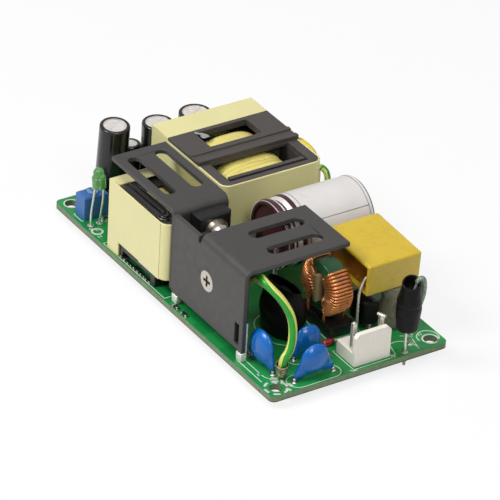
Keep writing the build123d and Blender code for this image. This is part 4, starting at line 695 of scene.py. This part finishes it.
Pile().wire(loop[7:30], 0.72, 16).piece("fuse_lead_sleeve", "glass_body", grey_clear)

# Insulated wires
LEFT = Vector((-0.564, -0.826, 0))
TERMINAL = Vector((44.4, -18.6, BOARD_TOP))
CRIMP_AXIS = Vector((0.22, -0.16, 0.96)).normalized()
EARTH_FOOT = Vector((12.0, -13.5, 0))


def striped(name, line, radius, node, twist, sides=24):
    """A green wire with a yellow stripe on two opposite sides, turned from end to end."""
    rings = []
    for i, p in enumerate(line):
        axis = direction(line, i)
        across = (LEFT - axis * LEFT.dot(axis)).normalized()
        over = axis.cross(across)
        t = i / (len(line) - 1)
        start = math.radians(twist[0] + (twist[1] - twist[0]) * min(1.0, 1.7 * t))
        angles = [start + a for a in around(sides)]
        rings.append([(p + (across * math.cos(a) + over * math.sin(a)) * radius) * MM for a in angles])
    wire = mesh_object(name, *skin(rings), "green_yellow_wire", wire_green)
    wire.data.materials.append(wire_yellow)
    stripe = sides // 8
    for i, polygon in enumerate(wire.data.polygons):
        k = i % sides % (sides // 2)
        if i < (len(line) - 1) * sides and (k < stripe or k >= sides // 2 - stripe):
            polygon.material_index = 1
    shown_as(wire, node)


def crimp():
    """The terminal: a barrel rolled round the wire, its two edges meeting in a groove."""
    across, over = frame_of(CRIMP_AXIS, X_AXIS)
    levels = [(0.5, 1.02), (1.2, 1.2), (2.2, 1.42), (3.0, 1.5)]
    levels += [(3.4, 1.36), (3.8, 1.34), (4.2, 1.5), (4.75, 1.62)]
    inner = [(4.75, 1.4), (4.2, 1.26), (3.4, 1.15), (2.2, 1.1), (1.2, 0.9), (0.5, 0.7)]
    rings = []
    for height, radius in levels + inner:
        ring = []
        for a in around(40):
            seam = 0.34 * math.exp(-(((a - 4.0) / 0.2) ** 2)) if radius > 1.15 else 0
            r = radius - seam + (0.1 * math.cos(3 * a) if 3 < height < 4 else 0)
            out = across * (r * math.cos(a)) + over * (r * math.sin(a))
            ring.append((TERMINAL + CRIMP_AXIS * height + out) * MM)
        rings.append(ring)
    barrel = mesh_object("crimped_barrel", *skin(rings, True), "tinned", terminal_metal)
    shown_as(barrel, "earth_terminal")


earth_route = [TERMINAL + CRIMP_AXIS * 1.6, TERMINAL + CRIMP_AXIS * 6.1]
earth_route += [(45.6, -17.7, 9.0), (44.8, -16.2, 12.0)]
earth_route += [(42.7, -15.3, 16.4), (40.0, -16.6, 20.2), (36.6, -18.9, 23.2), (32.8, -18.6, 23.4)]
last_bends = ((15.4, -2.0, 19.4), (6.0, -0.1, 10.6), (0, 0, 5.6), (0, 0, 2.6))
earth_route += [EARTH_FOOT + Vector(p) for p in last_bends]
striped("earth_wire_smooth", round_off(earth_route, 8), 1.05, "earth_wire", (35, -50))
Pile().lead(EARTH_FOOT.x, EARTH_FOOT.y, 3.4, 1.0, 0.42).piece("earth_wire_end", "tinned", tinned)

secondary = Pile()
SECONDARY_Y, SHIELD_X, SHIELD_Y, WIRE_FOOT = 24.45, -2.7, 24.3, 2.6
for x, reach, z in ((-7.2, 8.6, 24.2), (-9.5, 5.6, 22.0)):
    bends = [(x - reach, 23.0, z), (x - reach, SECONDARY_Y, z), (x, SECONDARY_Y, z - 0.8)]
    bends += [(x, SECONDARY_Y, 12.0), (x, SECONDARY_Y, WIRE_FOOT)]
    secondary.wire(round_off(bends, 10), 0.9, 16)
shown_as(secondary.piece("secondary_wires", "yellow_wire", yellow_wire), "secondary_leads")
bends = [(-5.4, 23.0, 21.8), (-5.4, SECONDARY_Y, 21.8), (SHIELD_X, 25.0, 20.2)]
bends += [(SHIELD_X, SHIELD_Y, 10.0), (SHIELD_X, SHIELD_Y, WIRE_FOOT)]
striped("shield_wire_smooth", round_off(bends, 10), 0.8, "shield_lead", (150, 110))
ends = Pile()
for x, y in ((-7.2, SECONDARY_Y), (-9.5, SECONDARY_Y), (SHIELD_X, SHIELD_Y)):
    ends.lead(x, y, 3.4, 1.0, 0.4)
ends.piece("wire_ends", "tinned", tinned)
crimp()
x, y = TERMINAL.xy
tab_route = [TERMINAL + CRIMP_AXIS * 1.4, TERMINAL, (x, y, 0.5), (x, y, LEAD_TIP)]
tab = Pile().wire(tab_route, 0.62, 10)
tab.wire([TERMINAL + CRIMP_AXIS * 1.0, TERMINAL + CRIMP_AXIS * 2.6], 0.9, 9)
tab.piece("terminal_tab", "tinned", terminal_metal)


# Standing capacitors
def can_top(level, axis, r):
    """A vented metal top: a raised rim, and four sectors with a cross between them."""
    across, over = frame_of(axis, X_AXIS)
    up = Vector(axis).normalized()
    rim = r - 0.9
    profile = [(rim, -0.1), (rim, 0.2), (rim - 0.3, 0.23), (0.74 * r, 0.16), (0.7 * r, 0.1), (0.7 * r, -0.1)]
    top = Pile().lathe(profile, level, axis, 56, ends=False)
    top.lathe([(0.72 * r, -0.12), (0.72 * r, 0.06)], level, axis, 40)
    gap, lip, lift = 0.09, 0.66 * r, 0.17
    first = math.asin(gap / lip)
    angles = [first + (math.pi / 2 - 2 * first) * i / 7 for i in range(8)]
    corners = [(gap, gap)] + [(lip * math.cos(a), lip * math.sin(a)) for a in angles]
    for turn in (math.pi / 2 * quarter + 0.5 for quarter in range(4)):
        c, s = math.cos(turn), math.sin(turn)
        flat = [(x * c - y * s, x * s + y * c) for x, y in corners]
        both = [[(level + across * u + over * v + up * z) * MM for u, v in flat] for z in (0.0, lift)]
        top.add(*skin(both))
    return top


def can_set(name, node, base, axis, r, h, pitch):
    """A shrunk film with its lip, a vented metal top, a rubber base and two leads."""
    profile = [(r - 0.95, 0.3), (r - 0.3, 0.28), (r - 0.04, 0.5), (r, 0.8), (r, 1.55), (r - 0.12, 1.8)]
    profile += [(r - 0.36, 2.15), (r - 0.12, 2.5), (r, 2.75), (r, h - 0.62), (r - 0.06, h - 0.28)]
    profile += [(r - 0.26, h - 0.06), (r - 0.55, h), (r - 0.9, h - 0.04), (r - 0.98, h - 0.16)]
    film = Pile().lathe(profile, base, axis, 56, ends=False)
    shown_as(even(film.piece(name + "_film", "black_plastic", sleeve_black)), node)
    across, over = frame_of(axis, X_AXIS)
    up = Vector(axis).normalized()
    top = can_top(Vector(base) + up * (h - 0.34), axis, r)
    top.piece(name + "_top", "can_metal", can_metal, smooth=False)
    facing = 2.5
    out = across * math.cos(facing) + over * math.sin(facing)
    marks = Pile()
    for z in (4.2 + (h - 7.0) * i / 4 for i in range(5)):
        marks.box(Vector(base) + up * z + out * (r + 0.005), (0.03, 0.9, 0.3), (out, up.cross(out), up))
    marks.piece(name + "_marks", "white_label", stripe_grey, smooth=False)
    under = Pile().lathe([(r - 0.9, 0.15), (r - 0.9, 0.9)], base, axis, 32)
    under.piece(name + "_seal", "rubber_seal", rubber)
    wires = Pile()
    for side in (-1, 1):
        wires.lead(base[0], base[1] + side * pitch / 2, base[2] + 0.9, 0.5)
    wires.piece(name + "_wires", "tinned", tinned)


LEAN = math.radians(5.0)
LEANING = Vector((math.sin(LEAN), 0, math.cos(LEAN)))
CANS = (
    ("can_lean", "output_capacitor_1", (-45.0, -12.9, 2.7), LEANING, 3.9, 21.8, 3.5),
    ("can_middle", "output_capacitor_2", (-40.9, -1.6, BOARD_TOP), Z_AXIS, 4.1, 21.8, 3.5),
    ("can_rear", "output_capacitor_3", (-40.9, 9.5, BOARD_TOP), Z_AXIS, 4.3, 21.8, 3.5),
    ("can_small", "small_capacitor", (-46.2, -6.2, BOARD_TOP), Z_AXIS, 2.7, 14.2, 2.0),
)
for can in CANS:
    can_set(*can)

# Bulk capacitor: the film is drawn over the rim and into the groove
BULK = (10.0, 0, 17.3)
LABEL_RADIUS = 9.01
profile = [(7.5, -0.6), (7.7, -0.86), (8.3, -0.85), (8.72, -0.55), (8.86, 0.0), (8.84, 0.6), (8.6, 1.15)]
profile += [(8.18, 1.6), (7.98, 2.1), (8.0, 2.4), (8.3, 2.95), (8.7, 3.4), (8.86, 3.9), (8.86, 24.2)]
profile += [(8.7, 24.55), (8.3, 24.65), (7.7, 24.6), (7.5, 24.45), (7.5, 24.0), (8.4, 23.6), (8.4, 4.2)]
profile += [(7.7, 2.2), (8.3, 0.4), (7.6, -0.2)]
film = Pile().lathe(profile, BULK, Y_AXIS, 96, ends=False)
shown_as(even(film.piece("bulk_film", "maroon_sleeve", maroon)), "bulk_capacitor_sleeve")
profile = [(8.9, 4.55), (9.0, 4.5), (9.02, 14.0), (9.0, 24.1), (8.9, 24.0)]
sheet = Pile().lathe(profile, BULK, Y_AXIS, 96, ends=False)
shown_as(even(sheet.piece("bulk_label_smooth", "white_label", label)), "bulk_capacitor_label")
edges = Pile()
for y in (5.5, 23.2):
    edges.lathe([(8.98, y), (9.04, y), (9.04, y + 0.16), (8.98, y + 0.16)], BULK, Y_AXIS, 96, ends=False)
for a in (math.radians(38), math.radians(141)):
    c, s = math.cos(a), math.sin(a)
    spot = (BULK[0] + LABEL_RADIUS * c, 14.4, BULK[2] + LABEL_RADIUS * s)
    edges.box(spot, (0.05, 17.6, 0.16), (Vector((c, 0, s)), Y_AXIS, Vector((-s, 0, c))))
edges.piece("label_border", "white_label", stripe_grey)


# Windings and tapes
COIL_Y, COIL_Z = 8.6, 15.85


def wound(name, node, x0, x1, centre, half, power, layers, wrinkle=0.12):
    """A taped coil along X whose layers start at shares of its length, each a rise over the last."""
    spans, sides, end_round = 22, 72, 0.35
    rings = []
    for t in (i / spans for i in range(spans + 1)):
        x = x0 + (x1 - x0) * t
        step = sum(rise for edge, rise in layers if t > edge)
        end = end_round * max(0.0, 1 - t / 0.06) + end_round * max(0.0, 1 - (1 - t) / 0.06)
        ring = []
        for a in around(sides):
            u, v = bulge(a, power)
            grow = step + wrinkle * noise.noise(Vector((x * 0.35, u * 3.0, v * 3.0))) - end
            ring.append(vec(x, centre[0] + u * (half[0] + grow), centre[1] + v * (half[1] + grow)))
        rings.append(ring)
    shown_as(mesh_object(name, *skin(rings), "yellow_tape", coil_tape), node)


wound("primary_coil", "primary_winding", -32.3, -18.2, (COIL_Y, COIL_Z), (7.9, 6.4), 2.5,
      ((0.48, 2.8), (0.83, -1.5)))
wound("secondary_coil", "secondary_winding", -16.85, -7.75, (COIL_Y, COIL_Z), (9.5, 7.5), 3.4,
      ((0.18, 0.28), (0.42, -0.3), (0.47, 0.4), (0.7, 0.22)), 0.2)
wound("choke_coil", "choke_winding", -19.9, -4.8, (-17.3, 14.7), (4.3, 5.8), 4.0, ((0.5, 0.16),))
block = Pile().box((-27.0, COIL_Y, 22.9), (2.4, 15.0, 0.9))
block.piece("primary_end_block", "black_plastic", black_nylon)

# The choke's bobbin rim: a lip inside the tape and a ridge with a round end
rim = Pile()
lip = [(-21.2, -24.0, 21.15), (-12.0, -23.95, 21.2), (-4.4, -23.9, 21.15), (-2.6, -23.2, 21.15)]
rim.tube(lip + [(-2.2, -22.0, 21.1)], 0.42)
rim.tube([(-20.9, -21.9, 21.1), (-18.0, -21.8, 21.35), (-7.2, -21.55, 21.35), (-5.6, -21.4, 21.2)], 0.5)
rim.tube([(-19.5, -20.3, 21.05), (-7.0, -20.1, 21.1), (-5.2, -20.4, 21.05)], 0.3, 8)
profile = [(1.35, 20.9), (1.35, 21.25), (1.1, 21.45), (0.55, 21.5), (0.45, 21.35)]
rim.lathe(profile, (-4.5, -21.9, 0), sides=28)
rim.piece("choke_rim", "black_plastic", rim_black)
cover = Pile().box((-13.2, -11.7, 21.32), (24.4, 3.2, 0.34)).box((-22.6, -14.6, 21.7), (3.2, 8.6, 0.12))
soften(cover.piece("choke_tape_over", "yellow_tape", tape), 0.08)

# The free end of the outer turn of tape on each wound part
seams = Pile().box((-6.1, -25.03, 13.5), (9.4, 0.08, 16.0)).box((-20.0, -6.13, 16.3), (0.1, 0.06, 17.6))
seams.box((-2.87, 15.0, 16.3), (0.08, 12.0, 17.6))
soften(seams.piece("tape_ends", "yellow_tape", tape), 0.03)

# Dried glue on the transformer's cover
COVER_TOP = 26.0
glue = Pile()
for x, y, reach, wide in ((-27.6, 1.6, 0.9, 0.5), (-26.0, 2.6, 1.5, 0.8), (-25.2, 2.0, 0.7, 0.6)):
    rings = []
    for share, lift in ((1.0, 0.0), (0.8, 0.09), (0.4, 0.13), (0.05, 0.13)):
        ring = []
        for a in around(18):
            c, s = math.cos(a), math.sin(a)
            r = share * (1 + 0.25 * noise.noise(Vector((x + c, y + s, 2.0))))
            ring.append(vec(x + reach * r * c, y + wide * r * s + 0.3 * c * reach, COVER_TOP + lift))
        rings.append(ring)
    glue.add(*skin(rings))
glue.piece("glue_spot", "silicone", glue_grey)


# Below the box capacitor
def silicone_lump():
    """Adhesive that rises from the board to the box, as wide as the room there."""
    middle_x, middle_y, low, height, slope = 35.9, 19.3, 1.62, 10.6, math.radians(3)
    rings = []
    for t in (j / 14 for j in range(15)):
        z = low + height * t
        radius = 4.75 - 1.5 * t + 0.5 * math.cos(t * 5) - (0.9 * max(0.0, t - 0.85) / 0.15)
        ring = []
        for a in around(48):
            r = radius + 0.55 * ripple(a, 1.2, z * 0.22)
            x, y = middle_x + r * math.cos(a), middle_y + min(r, 5.6) * math.sin(a)
            ring.append(vec(x, min(y, 25.0), min(z, 12.45 + (28.9 - x) * math.tan(slope))))
        rings.append(ring)
    shown_as(mesh_object("silicone_lump", *skin(rings), "silicone", silicone), "silicone_bead")


def sleeved_disc():
    """The part under the yellow box: a disc in a tight black sleeve with a sloping top."""
    rings = []
    for t in (j / 12 for j in range(13)):
        tuck = 1 - 0.35 * max(0.0, 1 - t / 0.15) ** 2 - 0.3 * max(0.0, (t - 0.9) / 0.1) ** 2
        ring = []
        for a in around(40):
            u, v = bulge(a, 5)
            n = 0.12 * noise.noise(Vector((u * 1.5, v * 1.5, 3 * t)))
            x, y = 34.0 + u * (3.4 * tuck + n), THERMISTOR_Y + v * (2.45 * tuck + n)
            ring.append(vec(x, y, 2.4 + 7.9 * t - max(0.0, v) * 1.5 * t**3 - max(0.0, u) * 0.5 * t**3))
        rings.append(ring)
    shown_as(mesh_object("sleeved_disc", *skin(rings), "black_epoxy", shrink), "thermistor")


THERMISTOR_Y = 11.9
silicone_lump()
slant, foot_y = Pile(), 8.15
for x, z in ((21.4, 17.4), (36.4, 16.6)):
    bends = [(x, 10.3, z), (x, 9.7, z - 0.1), (x, 8.2, z - 3.2), (x - 0.1, foot_y, z - 7)]
    slant.wire(round_off(bends + [(x, foot_y, 4), (x, foot_y, LEAD_TIP)], 5), 0.38, 10)
shown_as(slant.piece("box_wires", "tinned", tinned), "x_capacitor_leads")
sleeved_disc()
wires = Pile().lead(31.5, THERMISTOR_Y, 3.4, 1.6).lead(36.5, THERMISTOR_Y, 3.4, 1.6)
wires.piece("sleeved_disc_wires", "tinned", tinned)

# Header pins
HEADER_X, HEADER_ROWS = 46.5, (-0.01, 7.91)
pins = Pile()
for y in HEADER_ROWS:
    rings = []
    for z, share in ((LEAD_TIP, 0.55), (-1.5, 1.0), (11.9, 1.0), (12.3, 0.86), (12.6, 0.5)):
        reach = 0.57 * share
        corners = ((-reach, -reach), (reach, -reach), (reach, reach), (-reach, reach))
        rings.append([vec(HEADER_X + a, y + b, z) for a, b in corners])
    pins.add(*skin(rings))
shown_as(soften(pins.piece("mains_pins", "tinned", tinned), 0.14, 3), "input_pins")
along, across = Vector((0.93, 0.35, 0)).normalized(), Vector((-0.35, 0.93, 0)).normalized()
head = Pile().box((HEADER_X, HEADER_ROWS[1], 12.2), (2.5, 0.9, 0.75), (along, across, Z_AXIS))
soften(head.piece("pin_head", "tinned", tinned), 0.28, 3)
ribs = Pile()
for y in (-0.01, 3.95, 7.91):
    ribs.box((49.42, y, 5.9), (0.06, 0.5, 8.4))
for y in HEADER_ROWS:
    ribs.lathe([(0.75, 5.18), (1.0, 5.18), (1.0, 5.26), (0.75, 5.26)], (HEADER_X, y, 0), sides=4, ends=False)
ribs.piece("header_ribs", "white_nylon", nylon, smooth=False)

# Small axial diode that lies along Y
DIODE = (38.2, -1.4, 2.5)
profile = [(0.3, -1.75), (0.72, -1.7), (0.9, -1.35), (0.92, -0.4), (0.92, 1.35), (0.72, 1.7), (0.3, 1.75)]
glass = Pile().lathe(profile, DIODE, Y_AXIS, 28)
shown_as(even(glass.piece("diode_body", "red_glass", red_glass)), "signal_diode")
band = Pile().lathe([(0.9, 0.7), (0.95, 0.72), (0.95, 1.18), (0.9, 1.2)], DIODE, Y_AXIS, 28, ends=False)
band.piece("diode_band", "black_plastic", epoxy)
wires = Pile()
for side in (-1, 1):
    x, y, z = DIODE
    foot = (x, y + side * 3.5)
    bends = [(x, y + side * 1.5, z), (x, y + side * 2.6, z), (*foot, z - 0.05)]
    bends += [(*foot, BOARD_TOP), (*foot, LEAD_TIP)]
    wires.wire(round_off(bends, 5), 0.28)
wires.piece("diode_wires", "tinned", tinned)

# Tinned feet of the heatsinks, and the strip beside the earth wire
feet = Pile()
for x in (4.3, 33.5):
    feet.box((x, -23.1, 2.75), (2.3, 1.7, 2.3))
for y in (-20.8, -10.4):
    feet.box((1.6, y, 2.6), (1.6, 2.2, 2.0))
soften(feet.piece("heatsink_feet", "tinned", land_metal), 0.25)
strip = Pile().box((34.0, -22.2, 7.4), (0.3, 0.5, 8.8))
strip.tube([(30.3, -16.8, 1.5), (30.4, -16.9, 4.0), (30.2, -16.6, 6.2)], 0.3, 8, 4)
soften(strip.piece("tinned_strip", "tinned", land_metal), 0.06)

# White lines on the board
HOLE_X, HOLE_Y = 47.6, 22.2
ink = Pile()
for x, y, length, width, along_y in (
    (37.4, -19.8, 13.6, 5.0, False),
    (39.4, -8.2, 11.0, 4.8, True),
    (47.7, -11.6, 14.6, 5.4, True),
    (VARISTOR_X, VARISTOR_Y, 15.4, 11.4, False),
):
    ink.ribbon(stadium(x, y, length, width, along_y), closed=True)
ink.ribbon(arc(46.6, HOLE_Y, 2.75, -8, 278, 30), 0.28)
ink.ribbon(arc(48.6, 13.6, 3.9, 70, 290), 0.24)
for points, width in (
    ([(45.2, 12.0), (49.2, 10.9), (50.0, 9.4)], 0.24),
    ([(49.9, 17.4), (44.2, 18.6), (43.0, 16.4)], 0.24),
    ([(32.9, -23.9), (44.0, -23.9)], 0.24),
    ([(50.2, 10.2), (49.0, 10.2)], 0.3),
    ([(49.8, -2.7), (50.4, -2.1), (50.4, -0.9)], 0.24),
):
    ink.ribbon(points, width)
ink.frame_line(41.0, -1.7, 50.0, 9.6)
for _, _, (x, y, _), _, can_radius, _, _ in CANS:
    radius = can_radius + 0.4
    ink.ribbon(arc(x, y, radius, count=40), closed=True)
    ink.ribbon([(x - radius - 0.5, y + 1.2), (x - radius - 0.5, y + 2.2)])
for corners in (
    (-38.9, -24.3, -42.9, -16.3),
    (-27.4, -24.9, 1.6, -9.0),
    (-38.2, -6.6, -2.2, 23.8),
    (20.9, 0.0, 36.9, 8.1),
    (30.0, 9.0, 38.0, 14.8),
    (18.8, 8.4, 39.0, 24.8),
    (0.6, -1.0, 19.6, 24.9),
):
    ink.frame_line(*corners)
ink.ribbon([(-34.9, -24.6), (-34.2, -23.4), (-33.3, -23.0)], 0.3)
for i in range(5):
    x = -35.4 - 0.75 * i
    ink.ribbon([(x, -20.9 + 0.5 * i), (x - 0.5, -20.2 + 0.5 * i)], 0.26)
bars = ((40.5, -23.0), (43.4, -21.5), (46.8, 2.0), (44.3, 20.7), (-31.0, -24.4), (-47.0, 2.0), (-46.5, 20.0))
for x, y in bars:
    ink.ribbon([(x, y), (x + 0.9, y)], 0.24)
    ink.ribbon([(x, y + 0.7), (x + 0.9, y + 0.7)], 0.24)
ink.piece("board_ink", "white_label", mark, smooth=False)

# Tinned lands round the holes and at the terminal
lands = Pile()
for start in range(6):
    lands.ribbon(arc(HOLE_X, -HOLE_Y, 2.75, start * 60 + 14, start * 60 + 50, 8), 0.62)
dabs = ((45.6, -21.4, 0.6), (46.3, -19.7, -0.5), (48.3, -18.6, 0.2), (44.3, -20.4, 0.9), (49.7, -20.0, 0.4))
for x, y, turn in dabs:
    reach = Vector((math.cos(turn), math.sin(turn))) * 0.7
    lands.ribbon([Vector((x, y)) - reach, Vector((x, y)) + reach], 0.7, high=BOARD_TOP + 0.12)
lands.ribbon(arc(-32.9, -23.4, 1.35, count=26), 0.55, high=BOARD_TOP + 0.06, closed=True)
for y in (-23.37, -20.83):
    lands.ribbon(arc(-36.2, y, 0.55, count=16), 0.5, high=BOARD_TOP + 0.08, closed=True)
holes = ((HOLE_X, HOLE_Y), (-HOLE_X, HOLE_Y), (-HOLE_X, -HOLE_Y), (HOLE_X, -HOLE_Y))
for x, y in holes[:3]:
    lands.ribbon(arc(x, y, 1.95, count=36), 0.35, closed=True)
for x, y in holes:
    lands.ribbon(arc(x, y, 2.3, count=36), 1.1, low=-0.04, high=0.01, closed=True)
lands.piece("tinned_lands", "tinned", land_metal, smooth=False)


# Solder on both sides of the board
def lead_ends():
    """Middle and half width of every lead that ends below the board."""
    ends = []
    for node in nodes.values():
        groups = []
        for polygon in node.data.polygons:
            corners = [node.data.vertices[i].co for i in polygon.vertices]
            if max(c.z for c in corners) < (LEAD_TIP + 0.05) * MM:
                spots = {(round(c.x / MM, 2), round(c.y / MM, 2)) for c in corners}
                touching = [g for g in groups if g & spots]
                groups = [g for g in groups if not g & spots] + [spots.union(*touching)]
        for group in groups:
            xs, ys = zip(*group)
            half = max(max(xs) - min(xs), max(ys) - min(ys)) / 2
            ends.append(((min(xs) + max(xs)) / 2, (min(ys) + max(ys)) / 2, half))
    return sorted(ends)


cones, tops = Pile(), Pile()
for x, y, half in lead_ends():
    reach = half + 0.55
    profile = [(reach + 0.3, 0.01), (reach + 0.3, -0.03), (reach, -0.05), (half + 0.3, -0.42)]
    cones.lathe(profile + [(half + 0.08, -1.0), (half * 0.6, -1.25)], (x, y, 0), sides=20)
    if half < 0.7:
        profile = [(half + 0.5, -0.01), (half + 0.42, 0.04), (half + 0.1, 0.2)]
        tops.lathe([(r, BOARD_TOP + z) for r, z in profile], (x, y, 0), sides=14)
cones.piece("solder_cones", "tinned", solder)
tops.piece("solder_tops", "tinned", solder)


# Surface mounted parts: length, width, height and legs on each side
EIGHT_LEG = (5.0, 3.9, 1.3, 4)
DIODE_BLOCK = (4.6, 2.8, 1.2, 0)
LONG_CHIP = (3.2, 1.6, 0.7, 0)
WIDE_CHIP = (2.2, 1.2, 0.7, 0)
CHIP = (2.0, 1.25, 0.6, 0)
SLIM_CHIP = (2.0, 0.9, 0.6, 0)
SHORT_CHIP = (1.8, 1.0, 0.6, 0)
TINY_CHIP = (1.6, 0.9, 0.6, 0)
LEG_PITCH = 1.27


def chips(name, level, up, parts):
    """Small flat parts with soldered ends, on either side of the board."""
    bodies, ends = Pile(), Pile()
    for x, y, (length, width, height, legs) in parts:
        z = level + up * (height / 2 + 0.05)
        bodies.box((x, y, z), (length * (1.0 if legs else 0.62), width, height))
        for side in (-1, 1):
            for i in range(legs):
                px, py = x + (i - (legs - 1) / 2) * LEG_PITCH, y + side * (width / 2 + 0.45)
                ends.box((px, py, level + up * 0.16), (0.42, 1.0, 0.22))
                ends.box((px, py - side * 0.42, level + up * height * 0.3), (0.42, 0.18, height * 0.5))
            if not legs:
                cap = (length * 0.22, width * 1.04, height * 1.05)
                ends.box((x + side * length * 0.4, y, z - up * 0.03), cap)
                foot = (length * 0.24, width * 1.25, 0.16)
                ends.box((x + side * length * 0.56, y, level + up * 0.1), foot)
    soften(bodies.piece(name + "_bodies", "black_epoxy", epoxy), 0.06)
    soften(ends.piece(name + "_ends", "tinned", solder), 0.05)


chips("near_chips", BOARD_TOP, 1, (
    (-18.6, -24.2, WIDE_CHIP), (-15.4, -24.3, SHORT_CHIP), (-12.4, -24.2, WIDE_CHIP),
    (-9.4, -24.2, SHORT_CHIP), (-6.8, -24.3, SHORT_CHIP), (6.5, -24.6, SLIM_CHIP),
    (10.4, -24.6, SLIM_CHIP), (-36.8, -18.6, TINY_CHIP), (41.2, -3.4, TINY_CHIP),
))
chips("under_chips", 0.0, -1, (
    (-24.0, 4.0, EIGHT_LEG), (-10.0, 18.0, EIGHT_LEG), (2.0, -4.0, LONG_CHIP), (6.5, -4.0, LONG_CHIP),
    (-31.5, -3.0, CHIP), (-31.5, 0.0, CHIP), (-17.0, -2.5, CHIP), (-12.5, -2.5, CHIP), (-12.5, 3.5, CHIP),
    (-12.5, 6.5, CHIP), (16.5, 3.5, LONG_CHIP), (16.5, 7.5, LONG_CHIP), (20.0, 20.0, DIODE_BLOCK),
    (-46.5, -16.5, CHIP), (-33.0, -18.0, LONG_CHIP), (-33.0, -14.5, CHIP),
))

# Tinned tracks on the underside
tracks = Pile()
for points, width in (
    ([(-47.9, 2.5), (-47.9, 14.3)], 2.6),
    ([(-40.9, 11.3), (-44.5, 14.2), (-47.9, 14.2)], 1.6),
    ([(-33.5, 1.1), (-37.5, -1.0), (-40.9, -3.3)], 2.2),
    ([(-33.5, 6.1), (-37.0, 7.7), (-40.9, 7.7)], 2.2),
    ([(46.5, 8.0), (47.6, 11.0), (49.2, 13.5)], 1.8),
    ([(46.5, 0.0), (42.0, -2.0), (39.4, -4.5)], 1.6),
    ([(32.3, 1.2), (37.0, -3.0), (39.4, -4.5)], 1.6),
    ([(25.5, 1.2), (20.0, -2.0), (15.4, -8.0), (15.4, -19.0)], 1.8),
    ([(21.4, 8.1), (15.0, 4.0), (15.0, -1.9)], 1.6),
    ([(5.0, -1.9), (4.3, -8.0), (4.2, -12.0)], 2.0),
    ([(-4.5, 1.1), (0.0, -6.0), (4.2, -14.1)], 1.6),
):
    tracks.ribbon(points, width, low=-0.035, high=0.01)
tracks.piece("tin_tracks", "tinned", solder, smooth=False)

# Camera: the place, turn and focal length that fit the board's corners in the photograph
AZIMUTH, ELEVATION, ROLL = math.radians(55.664), math.radians(31.694), math.radians(3.244)
SHIFT_X, SHIFT_Y, DISTANCE = 0.881, 6.219, 978.57
FOCAL_PIXELS, PHOTO_PIXELS, SENSOR = 3954.658, 500, 36
right = Vector((math.cos(AZIMUTH), math.sin(AZIMUTH), 0))
level_back = Vector((math.sin(AZIMUTH), -math.cos(AZIMUTH), 0))
back = level_back * math.cos(ELEVATION) + Z_AXIS * math.sin(ELEVATION)
up = back.cross(right)
turned_right = right * math.cos(ROLL) + up * math.sin(ROLL)
turned_up = up * math.cos(ROLL) - right * math.sin(ROLL)
camera_data = bpy.data.cameras.new("camera")
camera_data.sensor_width = SENSOR
camera_data.lens = FOCAL_PIXELS / PHOTO_PIXELS * SENSOR
camera_data.clip_start = 0.05
camera_data.clip_end = 20
camera = bpy.data.objects.new("camera", camera_data)
bpy.context.scene.collection.objects.link(camera)
axes = Matrix((turned_right, turned_up, back)).transposed().to_4x4()
place = turned_right * SHIFT_X + turned_up * SHIFT_Y + back * DISTANCE
camera.matrix_world = Matrix.Translation(place * MM) @ axes
bpy.context.scene.camera = camera


# Lights, in metres and watts
def area_light(name, place, target, size, power):
    data = bpy.data.lights.new(name, "AREA")
    data.shape = "DISK"
    data.size = size
    data.energy = power
    light = bpy.data.objects.new(name, data)
    bpy.context.scene.collection.objects.link(light)
    light.location = place
    light.rotation_mode = "QUATERNION"
    light.rotation_quaternion = (Vector(target) - Vector(place)).to_track_quat("-Z", "Y")


area_light("key light", (-0.2, -0.6, 0.72), (0, 0, 0.01), 0.4, 6.6)
area_light("top light", (0.1, -0.05, 0.8), (0, 0, 0), 0.5, 2.3)
area_light("side light", (0.5, -0.12, 0.55), (0, 0, 0.01), 0.3, 1.7)


def seen_share(tree, rays):
    """1 for rays that see a surface straight or through glass, 0 for all others."""
    return math_node(tree, "MAXIMUM", rays.outputs["Is Camera Ray"], rays.outputs["Is Transmission Ray"])


# World: white where it is seen, half white in mirrors, and dim as a light
world = bpy.data.worlds.new("studio")
bpy.context.scene.world = world
world.use_nodes = True
tree = world.node_tree
rays = new_node(tree, "LightPath")
mirrored = math_node(tree, "MULTIPLY", rays.outputs["Is Glossy Ray"], 0.5)
plain = math_node(tree, "MAXIMUM", seen_share(tree, rays), mirrored)
strength = new_node(tree, "MapRange", To_Min=0.13, To_Max=1.0, Value=plain)
white = (1, 1, 1, 1)
set_inputs(tree, tree.nodes["Background"], Color=white, Strength=strength.outputs["Result"])

# Floor: pale paper that glows a little where it is seen
FLOOR_HALF, FLOOR_Z = 3, -0.00205
floor_mesh = bpy.data.meshes.new("floor")
corners = ((-1, -1), (1, -1), (1, 1), (-1, 1))
floor_mesh.from_pydata([(x * FLOOR_HALF, y * FLOOR_HALF, FLOOR_Z) for x, y in corners], [], [(0, 1, 2, 3)])
floor = bpy.data.objects.new("floor", floor_mesh)
bpy.context.scene.collection.objects.link(floor)
paper = surface("paper", (0.82, 0.82, 0.82), 0.9, vary=0.01, grain=30, Specular_IOR_Level=0.1)
tree = paper.node_tree
shader = tree.nodes["Principled BSDF"]
share = math_node(tree, "MULTIPLY", seen_share(tree, new_node(tree, "LightPath")), 0.8)
blend = new_node(tree, "MixShader", Fac=share)
tree.links.new(shader.outputs["BSDF"], blend.inputs[1])
tree.links.new(new_node(tree, "Emission").outputs["Emission"], blend.inputs[2])
set_inputs(tree, tree.nodes["Material Output"], Surface=blend.outputs["Shader"])
floor_mesh.materials.append(paper)

bpy.context.scene.view_settings.view_transform = "Standard"
